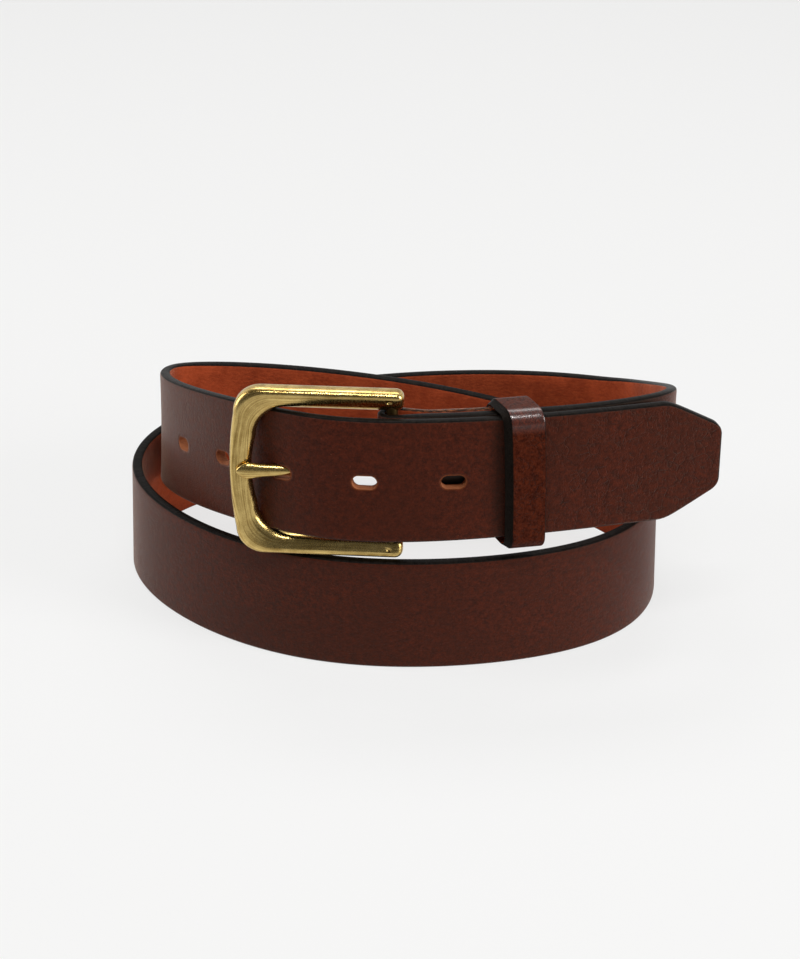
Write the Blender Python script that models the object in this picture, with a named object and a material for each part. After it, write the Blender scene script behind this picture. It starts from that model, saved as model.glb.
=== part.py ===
"""Leather belt, buckled at its middle hole and coiled in two turns.

Sizes are millimetres and degrees. The model is in metres, +Z up, and the lower turn stands on Z = 0.
"""
import math

import bmesh
import bpy
import numpy as np
from mathutils import Vector

MM = 0.001

# Strap
STRAP_WIDTH = 38.0
STRAP_THICKNESS = 3.3
EDGE_RADIUS = 1.0
EDGE_FLAT = 0.2
FOLD_THICKNESS = 2.2
SKIVE_LENGTH = 12.0
FOLD_LENGTH = 64.0
TONGUE_LENGTH = 24.0
TONGUE_END_WIDTH = 13.0
TONGUE_NIB_WIDTH = 3.2
TIP_CUT_LENGTH = 16.5
TIP_END_WIDTH = 19.0
TIP_CORNER = 2.5

# Coil
COIL_WIDTH = 171.0
COIL_DEPTH = 107.0
TURN_GAP = 0.5
LAP_GAP = 0.7
FOLD_GAP = 0.5

# Holes
HOLE_PITCH = 25.4
HOLE_LENGTH = 7.3
HOLE_WIDTH = 4.2
HOLES_EACH_SIDE = 2
HOLE_TO_TIP = 130.7
HOLE_TO_BAR = 33.0

# Buckle
BAR_DIAMETER = 3.5
BAR_GAP = 0.3
BAR_FIT = 0.2
BAR_CHAMFER = 0.3
FRAME_REACH = 44.5
FRAME_DEPTH = 5.4
ARM_HEIGHT = 6.3
ARM_OVERHANG = 3.5
ARM_END_ROUND = 3.0
FRONT_BAR_WIDTH = 6.3
FRONT_BAR_BOW = 1.5
FRAME_PLAY = 1.0
FRAME_CORNER = 7.0
FRAME_REST_GAP = 3.1
FRAME_SAG = 0.7
FRAME_DROP = 0.1
FRAME_SQUARENESS = 2.8

# Prong
PRONG_WIDTH = 3.0
PRONG_THICKNESS = 2.5
PRONG_HEAD_WIDTH = 4.3
PRONG_POINT = 3.4
PRONG_NECK = 13.0
PRONG_POINT_WIDTH = 0.5
PRONG_POINT_THICKNESS = 1.1
PRONG_SHORT_OF_EDGE = 2.4
PRONG_RING_WALL = 1.9
PRONG_RING_WIDTH = 5.0
PRONG_RING_CHAMFER = 0.4
PRONG_GAP = 0.3
SEAT_DEPTH = 1.0
SLOT_LENGTH = 12.0

# Keeper
KEEPER_WIDTH = 10.0
KEEPER_THICKNESS = 2.0
KEEPER_PLAY = 1.3
KEEPER_SAG = 0.7
KEEPER_SLANT = 0.24
KEEPER_EDGE = 0.4
KEEPER_GAP = 0.5
KEEPER_CORNER = 1.8
KEEPER_FROM_BAR = 36.5
KEEPER_BUTT_GAP = 0.4
STAPLE_SPAN = 8.0
STAPLE_WIRE = 1.0
STAPLE_GAP = 0.3

# Screw posts
POST_HEAD_DIAMETER = 9.0
POST_HEAD_HEIGHT = 1.0
POST_HEAD_CHAMFER = 0.4
POST_DIAMETER = 4.4
SCREW_SHANK = 2.6
SCREW_SLOT_WIDTH = 0.8
SCREW_SLOT_DEPTH = 0.5
POST_GAP = 0.35
NEAR_POST_FROM_BAR = 17.0
FAR_POST_FROM_BAR = 54.0

# Stations of the route: percent of the half width and half depth, height in percent of the strap's width,
# inward lean in degrees, and the number of turns that lie outside it.
# They go from the right side round the back, one full lower turn, then up to the free end.
COIL_STATIONS = (
    (95.1, -54.7, 113.6, 5.6, 0),
    (93.2, 26.8, 60.6, 2.8, 0),
    (65.8, 69.5, 40.5, 1.3, 0),
    (-1.5, 101.1, 17.6, 2.1, 0),
    (-75.6, 83.0, 0.0, 5.2, 0),
    (-99.0, 4.6, -1.6, 3.2, 0),
    (-61.3, -71.6, -1.6, 0.0, 0),
    (0.6, -100.0, -1.6, 0.0, 0),
    (65.5, -80.7, -1.6, 0.0, 0),
    (98.0, -30.7, 0.0, 2.0, 1),
    (82.1, 38.8, 10.4, 5.3, 1),
    (6.7, 78.9, 32.4, 3.2, 1),
    (-75.0, 68.0, 56.8, 2.2, 1),
    (-88.7, 8.1, 79.2, 3.8, 1),
    (-50.1, -73.0, 115.8, 6.0, 0),
    (-10.3, -102.3, 124.2, 7.5, 0),
    (47.2, -97.2, 125.8, 4.4, 0),
    (113.6, -75.6, 127.2, 2.5, 0),
)
FRONT_STATIONS = 6
LAP_STATIONS = (3.17, 3.6, 4.0, 4.35)

# Mesh steps
LONGEST_STEP = 8.0
LARGEST_TURN = 9.0
FOLD_STEP = 4.0
PRONG_STEP = 6.0
FINE_STEP = 0.25
ROUND_SIDES = 24
WIRE_SIDES = 12
FRAME_SIDES = 16


def clear_scene():
    for item in list(bpy.data.objects):
        bpy.data.objects.remove(item, do_unlink=True)


def unit(vector):
    return vector / np.linalg.norm(vector)


def ease(share):
    """Smooth step from 0 to 1."""
    share = min(max(share, 0.0), 1.0)
    return share * share * (3.0 - 2.0 * share)


def spline_bends(knots):
    """Second derivatives of the natural cubic through knots one unit apart."""
    matrix = np.eye(len(knots))
    right = np.zeros_like(knots)
    for i in range(1, len(knots) - 1):
        matrix[i, i - 1:i + 2] = (1.0, 4.0, 1.0)
        right[i] = 6.0 * (knots[i - 1] - 2.0 * knots[i] + knots[i + 1])
    return np.linalg.solve(matrix, right)


def spline_at(knots, bends, where):
    i = min(int(where), len(knots) - 2)
    b = where - i
    a = 1.0 - b
    curve = (a ** 3 - a) * bends[i] + (b ** 3 - b) * bends[i + 1]
    return a * knots[i] + b * knots[i + 1] + curve / 6.0


def station_knots():
    """Stations as x, y, height of the strap's middle and lean."""
    wide, deep = COIL_WIDTH / 2.0, COIL_DEPTH / 2.0
    knots = []
    for across, back, high, lean, outside in COIL_STATIONS:
        x = across / 100.0 * wide
        y = back / 100.0 * deep
        inward = -unit(np.array((x / wide ** 2, y / deep ** 2)))
        x, y = np.array((x, y)) + inward * outside * (STRAP_THICKNESS + TURN_GAP)
        knots.append((x, y, (0.5 + high / 100.0) * STRAP_WIDTH, lean))
    return np.array(knots)


def lap_knots(knots):
    """Stations of the buckle end, one strap thickness behind the free end that covers it."""
    front = knots[-FRONT_STATIONS:]
    bends = spline_bends(front)
    behind = STRAP_THICKNESS + LAP_GAP
    laps = []
    for where in LAP_STATIONS:
        point = spline_at(front, bends, where)
        ahead = spline_at(front, bends, where + 0.01)
        out = section_axes(ahead[:3] - point[:3], point[3])[1]
        laps.append((*(point[:3] - out * behind), point[3]))
    return np.array(laps)


def section_axes(along, lean):
    """Unit tangent, grain-side normal and width direction of a strap that leans inward."""
    along = unit(along)
    up = unit(np.array((0.0, 0.0, 1.0)) - along * along[2])
    out = np.cross(along, up)
    angle = math.radians(lean)
    width = up * math.cos(angle) - out * math.sin(angle)
    normal = out * math.cos(angle) + up * math.sin(angle)
    return along, normal, width


def standing_height(lean):
    """Height of the strap's middle when its lower edge just touches the ground."""
    angle = math.radians(lean)
    half = STRAP_WIDTH / 2.0 - EDGE_RADIUS
    thick = STRAP_THICKNESS / 2.0 - EDGE_RADIUS
    return half * math.cos(angle) + thick * abs(math.sin(angle)) + EDGE_RADIUS


class Route:
    """Middle line of the strap, measured by length from the heel bar."""

    def __init__(self):
        knots = station_knots()
        self.knots = np.vstack([lap_knots(knots), knots])
        self.bends = spline_bends(self.knots)
        steps = np.linspace(0.0, len(self.knots) - 1.0, 4001)
        points = np.array([self.spot(step)[:3] for step in steps])
        lengths = np.linalg.norm(np.diff(points, axis=0), axis=1)
        self.steps = steps
        self.lengths = np.concatenate([[0.0], np.cumsum(lengths)])
        self.length = self.lengths[-1]

    def spot(self, step):
        spot = spline_at(self.knots, self.bends, step)
        spot[2] = max(spot[2], standing_height(spot[3]))
        return spot

    def at(self, distance):
        """Point, tangent, grain normal and width direction at a length from the heel bar."""
        step = np.interp(distance, self.lengths, self.steps)
        low = max(step - 0.002, 0.0)
        high = min(step + 0.002, self.steps[-1])
        here = self.spot(step)
        along = self.spot(high)[:3] - self.spot(low)[:3]
        return (here[:3], *section_axes(along, here[3]))

    def stops(self, start, end):
        """Lengths along the route, closer together where it bends."""
        stops = [start]
        heading = self.at(start)[1]
        last = start
        for distance in np.arange(start + FINE_STEP, end, FINE_STEP):
            along = self.at(distance)[1]
            turn = math.degrees(math.acos(min(1.0, float(along @ heading))))
            if turn >= LARGEST_TURN or distance - last >= LONGEST_STEP:
                stops.append(distance)
                heading = along
                last = distance
        return stops + [end]


def strap_section(centre, normal, width, half_width, half_thick):
    """Twelve points of the strap's section, flat faced with rounded edges."""
    radius = min(EDGE_RADIUS, half_thick - EDGE_FLAT / 2.0)
    points = []
    for side, quarter in ((1, 0), (-1, 1), (-1, 2), (1, 3)):
        level = 1 if quarter < 2 else -1
        for turn in (0.0, 45.0, 90.0):
            angle = math.radians(90.0 * quarter + turn)
            across = side * (half_thick - radius) + radius * math.cos(angle)
            along = level * (half_width - radius) + radius * math.sin(angle)
            points.append(centre + normal * across + width * along)
    return points


def tip_half_width(to_end):
    """Half width of the free end, with straight cut corners to a blunt end."""
    half = STRAP_WIDTH / 2.0
    blunt = TIP_END_WIDTH / 2.0
    slope = (half - blunt) / TIP_CUT_LENGTH
    soft = TIP_CORNER
    cut = blunt + slope * to_end
    cut = 0.5 * (cut + half - math.sqrt((cut - half) ** 2 + soft ** 2 / 4.0)) + soft / 8.0
    if to_end < TIP_CORNER:
        short = 1.0 - to_end / TIP_CORNER
        cut -= TIP_CORNER * (1.0 - math.sqrt(max(1.0 - short * short, 0.0)))
    return min(cut, half)


def tongue_half_width(to_end):
    """Half width of the folded-back end, narrowed to a rounded tongue."""
    half = STRAP_WIDTH / 2.0
    narrow = TONGUE_END_WIDTH / 2.0
    width = narrow + (half - narrow) * ease((to_end - narrow) / TONGUE_LENGTH)
    if to_end < narrow:
        short = 1.0 - to_end / narrow
        width = max(narrow * math.sqrt(1.0 - short * short), TONGUE_NIB_WIDTH / 2.0)
    return width


def fold_offset(distance):
    """From the buckle end's grain face back to the grain face of the fold behind it."""
    at_bar = BAR_DIAMETER + 2.0 * (BAR_GAP + FOLD_THICKNESS)
    flat = STRAP_THICKNESS + FOLD_GAP + FOLD_THICKNESS
    return at_bar + (flat - at_bar) * ease(distance / SKIVE_LENGTH)


def width_near_bar(buckle, width, distance):
    """Width direction of the strap, turned to lie along the heel bar where it is close to it."""
    return unit(buckle.rise + (width - buckle.rise) * ease(abs(distance) / SKIVE_LENGTH))


def base_thickness(distance):
    return FOLD_THICKNESS + (STRAP_THICKNESS - FOLD_THICKNESS) * ease(distance / SKIVE_LENGTH)


class Buckle:
    """Local axes of the buckle: reach towards the front bar, rise along the heel bar, face outwards."""

    def __init__(self, route):
        point, along, normal, width = route.at(0.0)
        grain = point + normal * STRAP_THICKNESS / 2.0
        radius = BAR_DIAMETER / 2.0 + BAR_GAP + FOLD_THICKNESS
        self.origin = grain - normal * radius
        tail = route.length
        self.tip_at_bar = self.nearest(route, tail - HOLE_TO_TIP - 2.0 * HOLE_TO_BAR, tail, self.origin)
        under = route.at(self.tip_at_bar - FRAME_REACH)
        lift = STRAP_THICKNESS / 2.0 + FRAME_REST_GAP + FRAME_DEPTH / 2.0
        target = under[0] + under[2] * lift
        target[2] = self.origin[2] - FRAME_DROP
        reach = unit(target - self.origin)
        self.rise = unit(width - reach * (width @ reach))
        self.reach = reach
        self.face = np.cross(self.rise, self.reach)
        self.hole_at = self.tip_at_bar - HOLE_TO_BAR
        self.tip_end = self.hole_at + HOLE_TO_TIP

    @staticmethod
    def nearest(route, start, end, point):
        spots = np.arange(start, end, FINE_STEP)
        gaps = [np.linalg.norm(route.at(spot)[0] - point) for spot in spots]
        return float(spots[int(np.argmin(gaps))])

    def place(self, reach, rise, face):
        return self.origin + self.reach * reach + self.rise * rise + self.face * face

    def local(self, point):
        offset = point - self.origin
        return float(offset @ self.reach), float(offset @ self.rise), float(offset @ self.face)


def add_mesh(name, points, faces):
    mesh = bpy.data.meshes.new(name)
    mesh.from_pydata([Vector(point) * MM for point in points], [], faces)
    item = bpy.data.objects.new(name, mesh)
    bpy.context.scene.collection.objects.link(item)
    work = bmesh.new()
    work.from_mesh(mesh)
    bmesh.ops.recalc_face_normals(work, faces=work.faces)
    work.to_mesh(mesh)
    work.free()
    return item


def loft(name, sections, closed=False):
    """Closed skin over sections that have the same number of points."""
    size = len(sections[0])
    points = [point for section in sections for point in section]
    faces = []
    spans = len(sections) if closed else len(sections) - 1
    for row in range(spans):
        low = row * size
        high = (row + 1) % len(sections) * size
        for k in range(size):
            n = (k + 1) % size
            faces.append((low + k, low + n, high + n, high + k))
    if not closed:
        faces.append(tuple(range(size))[::-1])
        faces.append(tuple(range(len(points) - size, len(points))))
    return add_mesh(name, points, faces)


def ring_points(centre, across, upward, radius, sides=ROUND_SIDES):
    turns = [2.0 * math.pi * k / sides for k in range(sides)]
    return [centre + across * radius * math.cos(t) + upward * radius * math.sin(t) for t in turns]


def turned(name, base, axis, across, profile, sides=ROUND_SIDES):
    """Solid of revolution from (distance along the axis, radius) pairs."""
    upward = np.cross(axis, across)
    sections = [ring_points(base + axis * d, across, upward, r, sides) for d, r in profile]
    return loft(name, sections)


def combine(item, other, operation):
    """Apply a Boolean and remove the second solid."""
    step = item.modifiers.new(operation.title(), "BOOLEAN")
    step.operation = operation
    step.solver = "EXACT"
    step.object = other
    graph = bpy.context.evaluated_depsgraph_get()
    mesh = bpy.data.meshes.new_from_object(item.evaluated_get(graph))
    item.modifiers.clear()
    item.data = mesh
    bpy.data.objects.remove(other, do_unlink=True)


def finish(item, colour, roughness, metallic, origin=None, smooth_angle=40.0):
    """Shade, colour and set the origin of a finished piece."""
    if origin is not None:
        place = Vector(origin) * MM
        item.data.transform(item.matrix_world.Translation(-place))
        item.location = place
    work = bmesh.new()
    work.from_mesh(item.data)
    bmesh.ops.dissolve_degenerate(work, dist=1e-6, edges=work.edges)
    for face in work.faces:
        face.smooth = True
    for edge in work.edges:
        edge.smooth = edge.calc_face_angle(0.0) < math.radians(smooth_angle)
    work.to_mesh(item.data)
    work.free()
    material = bpy.data.materials.new(item.name)
    material.use_nodes = True
    shader = material.node_tree.nodes["Principled BSDF"]
    shader.inputs["Base Color"].default_value = (*colour, 1.0)
    shader.inputs["Roughness"].default_value = roughness
    shader.inputs["Metallic"].default_value = metallic
    item.data.materials.clear()
    item.data.materials.append(material)
    return item


LEATHER = ((0.065, 0.022, 0.014), 0.45, 0.0)
KEEPER_LEATHER = ((0.075, 0.022, 0.013), 0.4, 0.0)
BRASS = ((0.52, 0.36, 0.12), 0.3, 1.0)
STEEL = ((0.45, 0.42, 0.36), 0.35, 1.0)


def fold_sections(route, buckle):
    """Folded-back end and the wrap round the heel bar, up to the front of the bar."""
    sections = []
    half = FOLD_THICKNESS / 2.0
    rounded = TONGUE_END_WIDTH / 2.0
    stops = [FOLD_LENGTH - rounded * share for share in (0.0, 0.1, 0.3, 0.6, 1.0)]
    stops += list(np.arange(stops[-1] - FOLD_STEP, SKIVE_LENGTH / 2.0, -FOLD_STEP))
    stops += [SKIVE_LENGTH * share for share in (0.35, 0.15)]
    for distance in stops:
        point, along, normal, width = route.at(distance)
        width = width_near_bar(buckle, width, distance)
        back = STRAP_THICKNESS / 2.0 - fold_offset(distance) + half
        width_here = tongue_half_width(FOLD_LENGTH - distance)
        sections.append(strap_section(point + normal * back, -normal, width, width_here, half))
    point, along, normal, width = route.at(0.0)
    middle = BAR_DIAMETER / 2.0 + BAR_GAP + half
    for turn in range(180, -1, -20):
        angle = math.radians(turn)
        out = normal * math.cos(angle) - along * math.sin(angle)
        centre = buckle.origin + out * middle
        sections.append(strap_section(centre, out, buckle.rise, STRAP_WIDTH / 2.0, half))
    return sections


def run_sections(route, buckle):
    """The strap from the heel bar round both turns to the free end."""
    sections = []
    to_end = [TIP_CUT_LENGTH * share for share in (1.6, 1.3, 1.1, 0.9, 0.7, 0.5, 0.25)]
    to_end += [TIP_CORNER * share for share in (0.9, 0.4, 0.12, 0.0)]
    stops = [SKIVE_LENGTH * share for share in (0.125, 0.25, 0.5, 0.75)]
    stops += route.stops(SKIVE_LENGTH, buckle.tip_end - to_end[0])
    stops += [buckle.tip_end - step for step in to_end[1:]]
    for distance in stops:
        point, along, normal, width = route.at(distance)
        width = width_near_bar(buckle, width, distance)
        thick = base_thickness(distance)
        centre = point + normal * (STRAP_THICKNESS - thick) / 2.0
        wide = tip_half_width(buckle.tip_end - distance)
        sections.append(strap_section(centre, normal, width, wide, thick / 2.0))
    return sections


def hole_cutter(route, distance):
    """Oblong prism through the strap at a hole."""
    point, along, normal, width = route.at(distance)
    radius = HOLE_WIDTH / 2.0
    straight = HOLE_LENGTH / 2.0 - radius
    outline = []
    for k in range(14):
        angle = math.pi * (k % 7) / 6.0 + (math.pi if k >= 7 else 0.0) - math.pi / 2.0
        shift = straight if k < 7 else -straight
        outline.append(along * (shift + radius * math.cos(angle)) + width * radius * math.sin(angle))
    reach = STRAP_THICKNESS / 2.0 + LAP_GAP / 2.0
    low = [point - normal * reach + spot for spot in outline]
    high = [point + normal * reach + spot for spot in outline]
    return loft("hole", [low, high])


def ring_slot_cutter(buckle):
    """Box that opens the fold for the prong's ring."""
    ring = BAR_DIAMETER / 2.0 + BAR_GAP + FOLD_THICKNESS
    wide = PRONG_RING_WIDTH / 2.0 + PRONG_GAP * 2.0
    inner, outer = -2.0 * ring, ring + LAP_GAP / 2.0
    corners = ((-wide, inner), (wide, inner), (wide, outer), (-wide, outer))
    ends = [[buckle.place(reach, *corner) for corner in corners] for reach in (-SLOT_LENGTH, 2.0 * ring)]
    return loft("slot", ends)


def build_strap(route, buckle):
    strap = loft("strap", fold_sections(route, buckle) + run_sections(route, buckle))
    for step in range(-HOLES_EACH_SIDE, HOLES_EACH_SIDE + 1):
        place = buckle.hole_at + step * HOLE_PITCH
        combine(strap, hole_cutter(route, place), "DIFFERENCE")
    combine(strap, prong_shank("groove", route, buckle, PRONG_GAP), "DIFFERENCE")
    combine(strap, ring_slot_cutter(buckle), "DIFFERENCE")
    for distance in (NEAR_POST_FROM_BAR, FAR_POST_FROM_BAR):
        combine(strap, post_cutter(route, distance), "DIFFERENCE")
    return finish(strap, *LEATHER)


def post_axes(route, distance):
    """Grain-face point of the buckle end, the direction into the leather and a crosswise direction."""
    point, along, normal, width = route.at(distance)
    return point + normal * STRAP_THICKNESS / 2.0, -normal, width


def post_cutter(route, distance):
    face, inward, width = post_axes(route, distance)
    head = POST_HEAD_DIAMETER / 2.0 + POST_GAP
    body = POST_DIAMETER / 2.0 + POST_GAP
    floor = POST_HEAD_HEIGHT + 2.0 * POST_GAP
    through = fold_offset(distance) + POST_GAP
    start = -LAP_GAP / 2.0
    profile = ((start, head), (floor, head), (floor, body), (through, body))
    return turned("post_hole", face, inward, width, profile)


def build_post(name, route, distance):
    """Flat-headed tube, open at the back for its screw."""
    face, inward, width = post_axes(route, distance)
    head = POST_HEAD_DIAMETER / 2.0
    body = POST_DIAMETER / 2.0
    bore = SCREW_SHANK / 2.0 + POST_GAP
    top = POST_GAP
    shoulder = top + POST_HEAD_HEIGHT
    end = fold_offset(distance) - POST_GAP
    profile = ((top, head - POST_HEAD_CHAMFER), (top + POST_HEAD_CHAMFER, head), (shoulder, head),
               (shoulder, body), (end, body), (end, bore), (shoulder, bore))
    return finish(turned(name, face, inward, width, profile), *STEEL)


def build_screw(name, route, distance):
    """Slotted flat head on the fold's face, with a plain shank inside the post."""
    face, inward, width = post_axes(route, distance)
    seat = fold_offset(distance) + POST_GAP
    head = POST_HEAD_DIAMETER / 2.0
    shank = SCREW_SHANK / 2.0
    tip = POST_GAP * 2.0 + POST_HEAD_HEIGHT
    crown = seat + POST_HEAD_HEIGHT
    profile = ((tip, shank), (seat, shank), (seat, head), (crown - POST_HEAD_CHAMFER, head),
               (crown, head - POST_HEAD_CHAMFER))
    screw = turned(name, face, inward, width, profile)
    across = np.cross(inward, width)
    wide, groove = POST_HEAD_DIAMETER, SCREW_SLOT_WIDTH / 2.0
    corners = [(-wide, -groove), (wide, -groove), (wide, groove), (-wide, groove)]
    low = [face + inward * (crown - SCREW_SLOT_DEPTH) + width * a + across * b for a, b in corners]
    high = [spot + inward * POST_HEAD_HEIGHT for spot in low]
    combine(screw, loft("groove", [low, high]), "DIFFERENCE")
    return finish(screw, *STEEL)


def frame_path():
    """Reach, rise, direction and half section height along the frame from arm end to arm end."""
    high = STRAP_WIDTH / 2.0 + FRAME_PLAY + ARM_HEIGHT / 2.0
    turn_at = FRAME_REACH - FRONT_BAR_BOW - FRAME_CORNER
    spots = []
    for share in (0.0, 0.06, 0.25, 0.6, 1.0):
        scale = math.sqrt(max(1.0 - (1.0 - share) ** 2, 0.02))
        spots.append((-ARM_OVERHANG + ARM_END_ROUND * share, high, scale, 0.0))
    spots += [(BAR_DIAMETER, high, 1.0, 0.0), (turn_at / 2.0, high, 1.0, 0.0), (turn_at, high, 1.0, 0.0)]
    for k in range(1, 7):
        angle = math.radians(90.0 * k / 6.0)
        u = turn_at + FRAME_CORNER * math.sin(angle)
        v = high - FRAME_CORNER * (1.0 - math.cos(angle))
        spots.append((u, v, 1.0, k / 6.0))
    straight = high - FRAME_CORNER
    for share in (0.75, 0.5, 0.25):
        v = straight * share
        spots.append((FRAME_REACH - FRONT_BAR_BOW * share ** 2, v, 1.0, 1.0))
    mirrored = [(u, -v, scale, blend) for u, v, scale, blend in spots[::-1]]
    return spots + [(FRAME_REACH, 0.0, 1.0, 1.0)] + mirrored


def frame_section(buckle, spot, before, after):
    """Softly squared section of the frame, across its path."""
    u, v, scale, blend = spot
    along = unit(np.array((after[0] - before[0], after[1] - before[1])))
    out_u, out_v = -along[1], along[0]
    half = (ARM_HEIGHT + (FRONT_BAR_WIDTH - ARM_HEIGHT) * blend) / 2.0 * scale
    deep = FRAME_DEPTH / 2.0 * scale
    power = 2.0 / FRAME_SQUARENESS
    points = []
    for k in range(FRAME_SIDES):
        angle = 2.0 * math.pi * (k + 0.5) / FRAME_SIDES
        c, s = math.cos(angle), math.sin(angle)
        across = half * math.copysign(abs(c) ** power, c)
        face = deep * math.copysign(abs(s) ** power, s)
        points.append(buckle.place(u + out_u * across, v + out_v * across - FRAME_SAG, face))
    return points


def build_frame(route, buckle):
    path = frame_path()
    sections = []
    for k, spot in enumerate(path):
        before = path[max(k - 1, 0)]
        after = path[min(k + 1, len(path) - 1)]
        sections.append(frame_section(buckle, spot, before, after))
    frame = loft("buckle_frame", sections)
    bore = BAR_DIAMETER / 2.0 + BAR_FIT
    half = bar_half_length() + ARM_HEIGHT
    start = buckle.place(0.0, -half - FRAME_SAG, 0.0)
    profile = ((0.0, bore), (2.0 * half, bore))
    combine(frame, turned("bore", start, buckle.rise, buckle.reach, profile), "DIFFERENCE")
    combine(frame, prong_shank("seat", route, buckle, PRONG_GAP), "DIFFERENCE")
    return finish(frame, *BRASS, origin=buckle.origin)


def bar_half_length():
    return STRAP_WIDTH / 2.0 + FRAME_PLAY + ARM_HEIGHT - BAR_FIT


def build_bar(buckle):
    half = bar_half_length()
    radius = BAR_DIAMETER / 2.0
    start = buckle.place(0.0, -half - FRAME_SAG, 0.0)
    soft = BAR_CHAMFER
    end = 2.0 * half
    profile = ((0.0, radius - soft), (soft, radius), (end - soft, radius), (end, radius - soft))
    bar = turned("heel_bar", start, buckle.rise, buckle.reach, profile)
    return finish(bar, *BRASS, origin=buckle.origin)


def prong_spine(route, buckle):
    """Reach and face of three points of the prong: at its ring, in the hole and on the front bar."""
    hole = buckle.local(route.at(buckle.hole_at)[0])
    rest = FRAME_DEPTH / 2.0 - SEAT_DEPTH + PRONG_GAP + PRONG_THICKNESS / 2.0
    start = BAR_DIAMETER / 2.0 + BAR_GAP + PRONG_RING_WALL / 3.0
    return (start, 0.0), (hole[0], hole[2]), (FRAME_REACH, rest)


def spine_face(spine, reach):
    """Face offset of the prong at a reach: a parabola through the three points."""
    total = 0.0
    for i, (u, face) in enumerate(spine):
        weight = face
        for j, (other, unused) in enumerate(spine):
            if i != j:
                weight *= (reach - other) / (u - other)
        total += weight
    return total


def prong_half_width(to_point):
    """Half width of the prong by distance from its point: spear head, neck, then even."""
    body = PRONG_WIDTH / 2.0
    head = PRONG_HEAD_WIDTH / 2.0
    if to_point < PRONG_POINT:
        return max(head * math.sqrt(to_point / PRONG_POINT), PRONG_POINT_WIDTH / 2.0)
    return head + (body - head) * ease((to_point - PRONG_POINT) / PRONG_NECK)


def prong_shank(name, route, buckle, margin):
    """Prong without its ring, grown by a margin on every side."""
    spine = prong_spine(route, buckle)
    start = spine[0][0]
    point = FRAME_REACH + FRONT_BAR_WIDTH / 2.0 - PRONG_SHORT_OF_EDGE
    reaches = [point - PRONG_POINT * share for share in (0.0, 0.12, 0.4, 1.0)]
    reaches += list(np.arange(reaches[-1] - PRONG_STEP / 2.0, start + PRONG_STEP / 4.0, -PRONG_STEP / 2.0))
    reaches.append(start)
    sections = []
    for reach in reaches:
        to_point = point - reach
        half = prong_half_width(to_point) + margin
        full = min(1.0, to_point / PRONG_POINT)
        deep = PRONG_POINT_THICKNESS + (PRONG_THICKNESS - PRONG_POINT_THICKNESS) * full
        thick = deep / 2.0 + margin
        shift = margin * (1.0 if to_point == 0.0 else 0.0)
        face = spine_face(spine, reach)
        sections.append(prong_section(buckle, reach + shift, face, half, thick))
    return loft(name, sections)


def prong_section(buckle, reach, face, half, thick):
    points = []
    for k in range(WIRE_SIDES):
        angle = 2.0 * math.pi * k / WIRE_SIDES
        points.append(buckle.place(reach, half * math.cos(angle), face + thick * math.sin(angle)))
    return points


def build_prong(route, buckle):
    prong = prong_shank("prong", route, buckle, 0.0)
    bore = BAR_DIAMETER / 2.0 + BAR_GAP
    outer = bore + PRONG_RING_WALL
    base = buckle.place(0.0, -PRONG_RING_WIDTH / 2.0, 0.0)
    soft = PRONG_RING_CHAMFER
    wide = PRONG_RING_WIDTH
    profile = ((0.0, bore), (0.0, outer - soft), (soft, outer), (wide - soft, outer), (wide, outer - soft),
               (wide, bore))
    upward = np.cross(buckle.rise, buckle.reach)
    rows = [ring_points(base + buckle.rise * d, buckle.reach, upward, r) for d, r in profile]
    combine(prong, loft("ring", rows, closed=True), "UNION")
    return finish(prong, *BRASS, origin=buckle.origin)


class Keeper:
    """Local axes and inner size of the keeper loop."""

    def __init__(self, route):
        self.origin, self.along, self.face, self.rise = route.at(KEEPER_FROM_BAR)
        front = STRAP_THICKNESS * 1.5 + LAP_GAP + KEEPER_GAP
        back = fold_offset(KEEPER_FROM_BAR) - STRAP_THICKNESS / 2.0 + KEEPER_GAP
        self.middle = (front - back) / 2.0
        self.half_depth = (front + back) / 2.0
        self.half_height = STRAP_WIDTH / 2.0 + KEEPER_PLAY

    def place(self, along, rise, face):
        slid = along + KEEPER_SLANT * face
        hung = rise - KEEPER_SAG
        return self.origin + self.along * slid + self.rise * hung + self.face * (self.middle + face)

    def outward(self):
        """Direction of the loop's depth, slanted along the strap."""
        return unit(self.face + self.along * KEEPER_SLANT)

    def loop(self):
        """Inner line of the loop from butt to butt, as (rise, face, outward rise, outward face)."""
        edge = KEEPER_BUTT_GAP / 2.0
        deep, high, radius = self.half_depth, self.half_height, KEEPER_CORNER
        upper = [(edge, -deep, 0.0, -1.0), (STAPLE_SPAN, -deep, 0.0, -1.0)]
        for side, start in ((-1.0, 270.0), (1.0, 0.0)):
            for k in range(5):
                angle = math.radians(start + 90.0 * k / 4.0)
                out_rise, out_face = math.cos(angle), math.sin(angle)
                rise = high - radius + radius * out_rise
                upper.append((rise, side * (deep - radius) + radius * out_face, out_rise, out_face))
        upper.append((0.0, deep, 0.0, 1.0))
        lower = [(-rise, face, -out_rise, out_face) for rise, face, out_rise, out_face in upper[::-1]]
        return upper + lower[1:]


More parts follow.
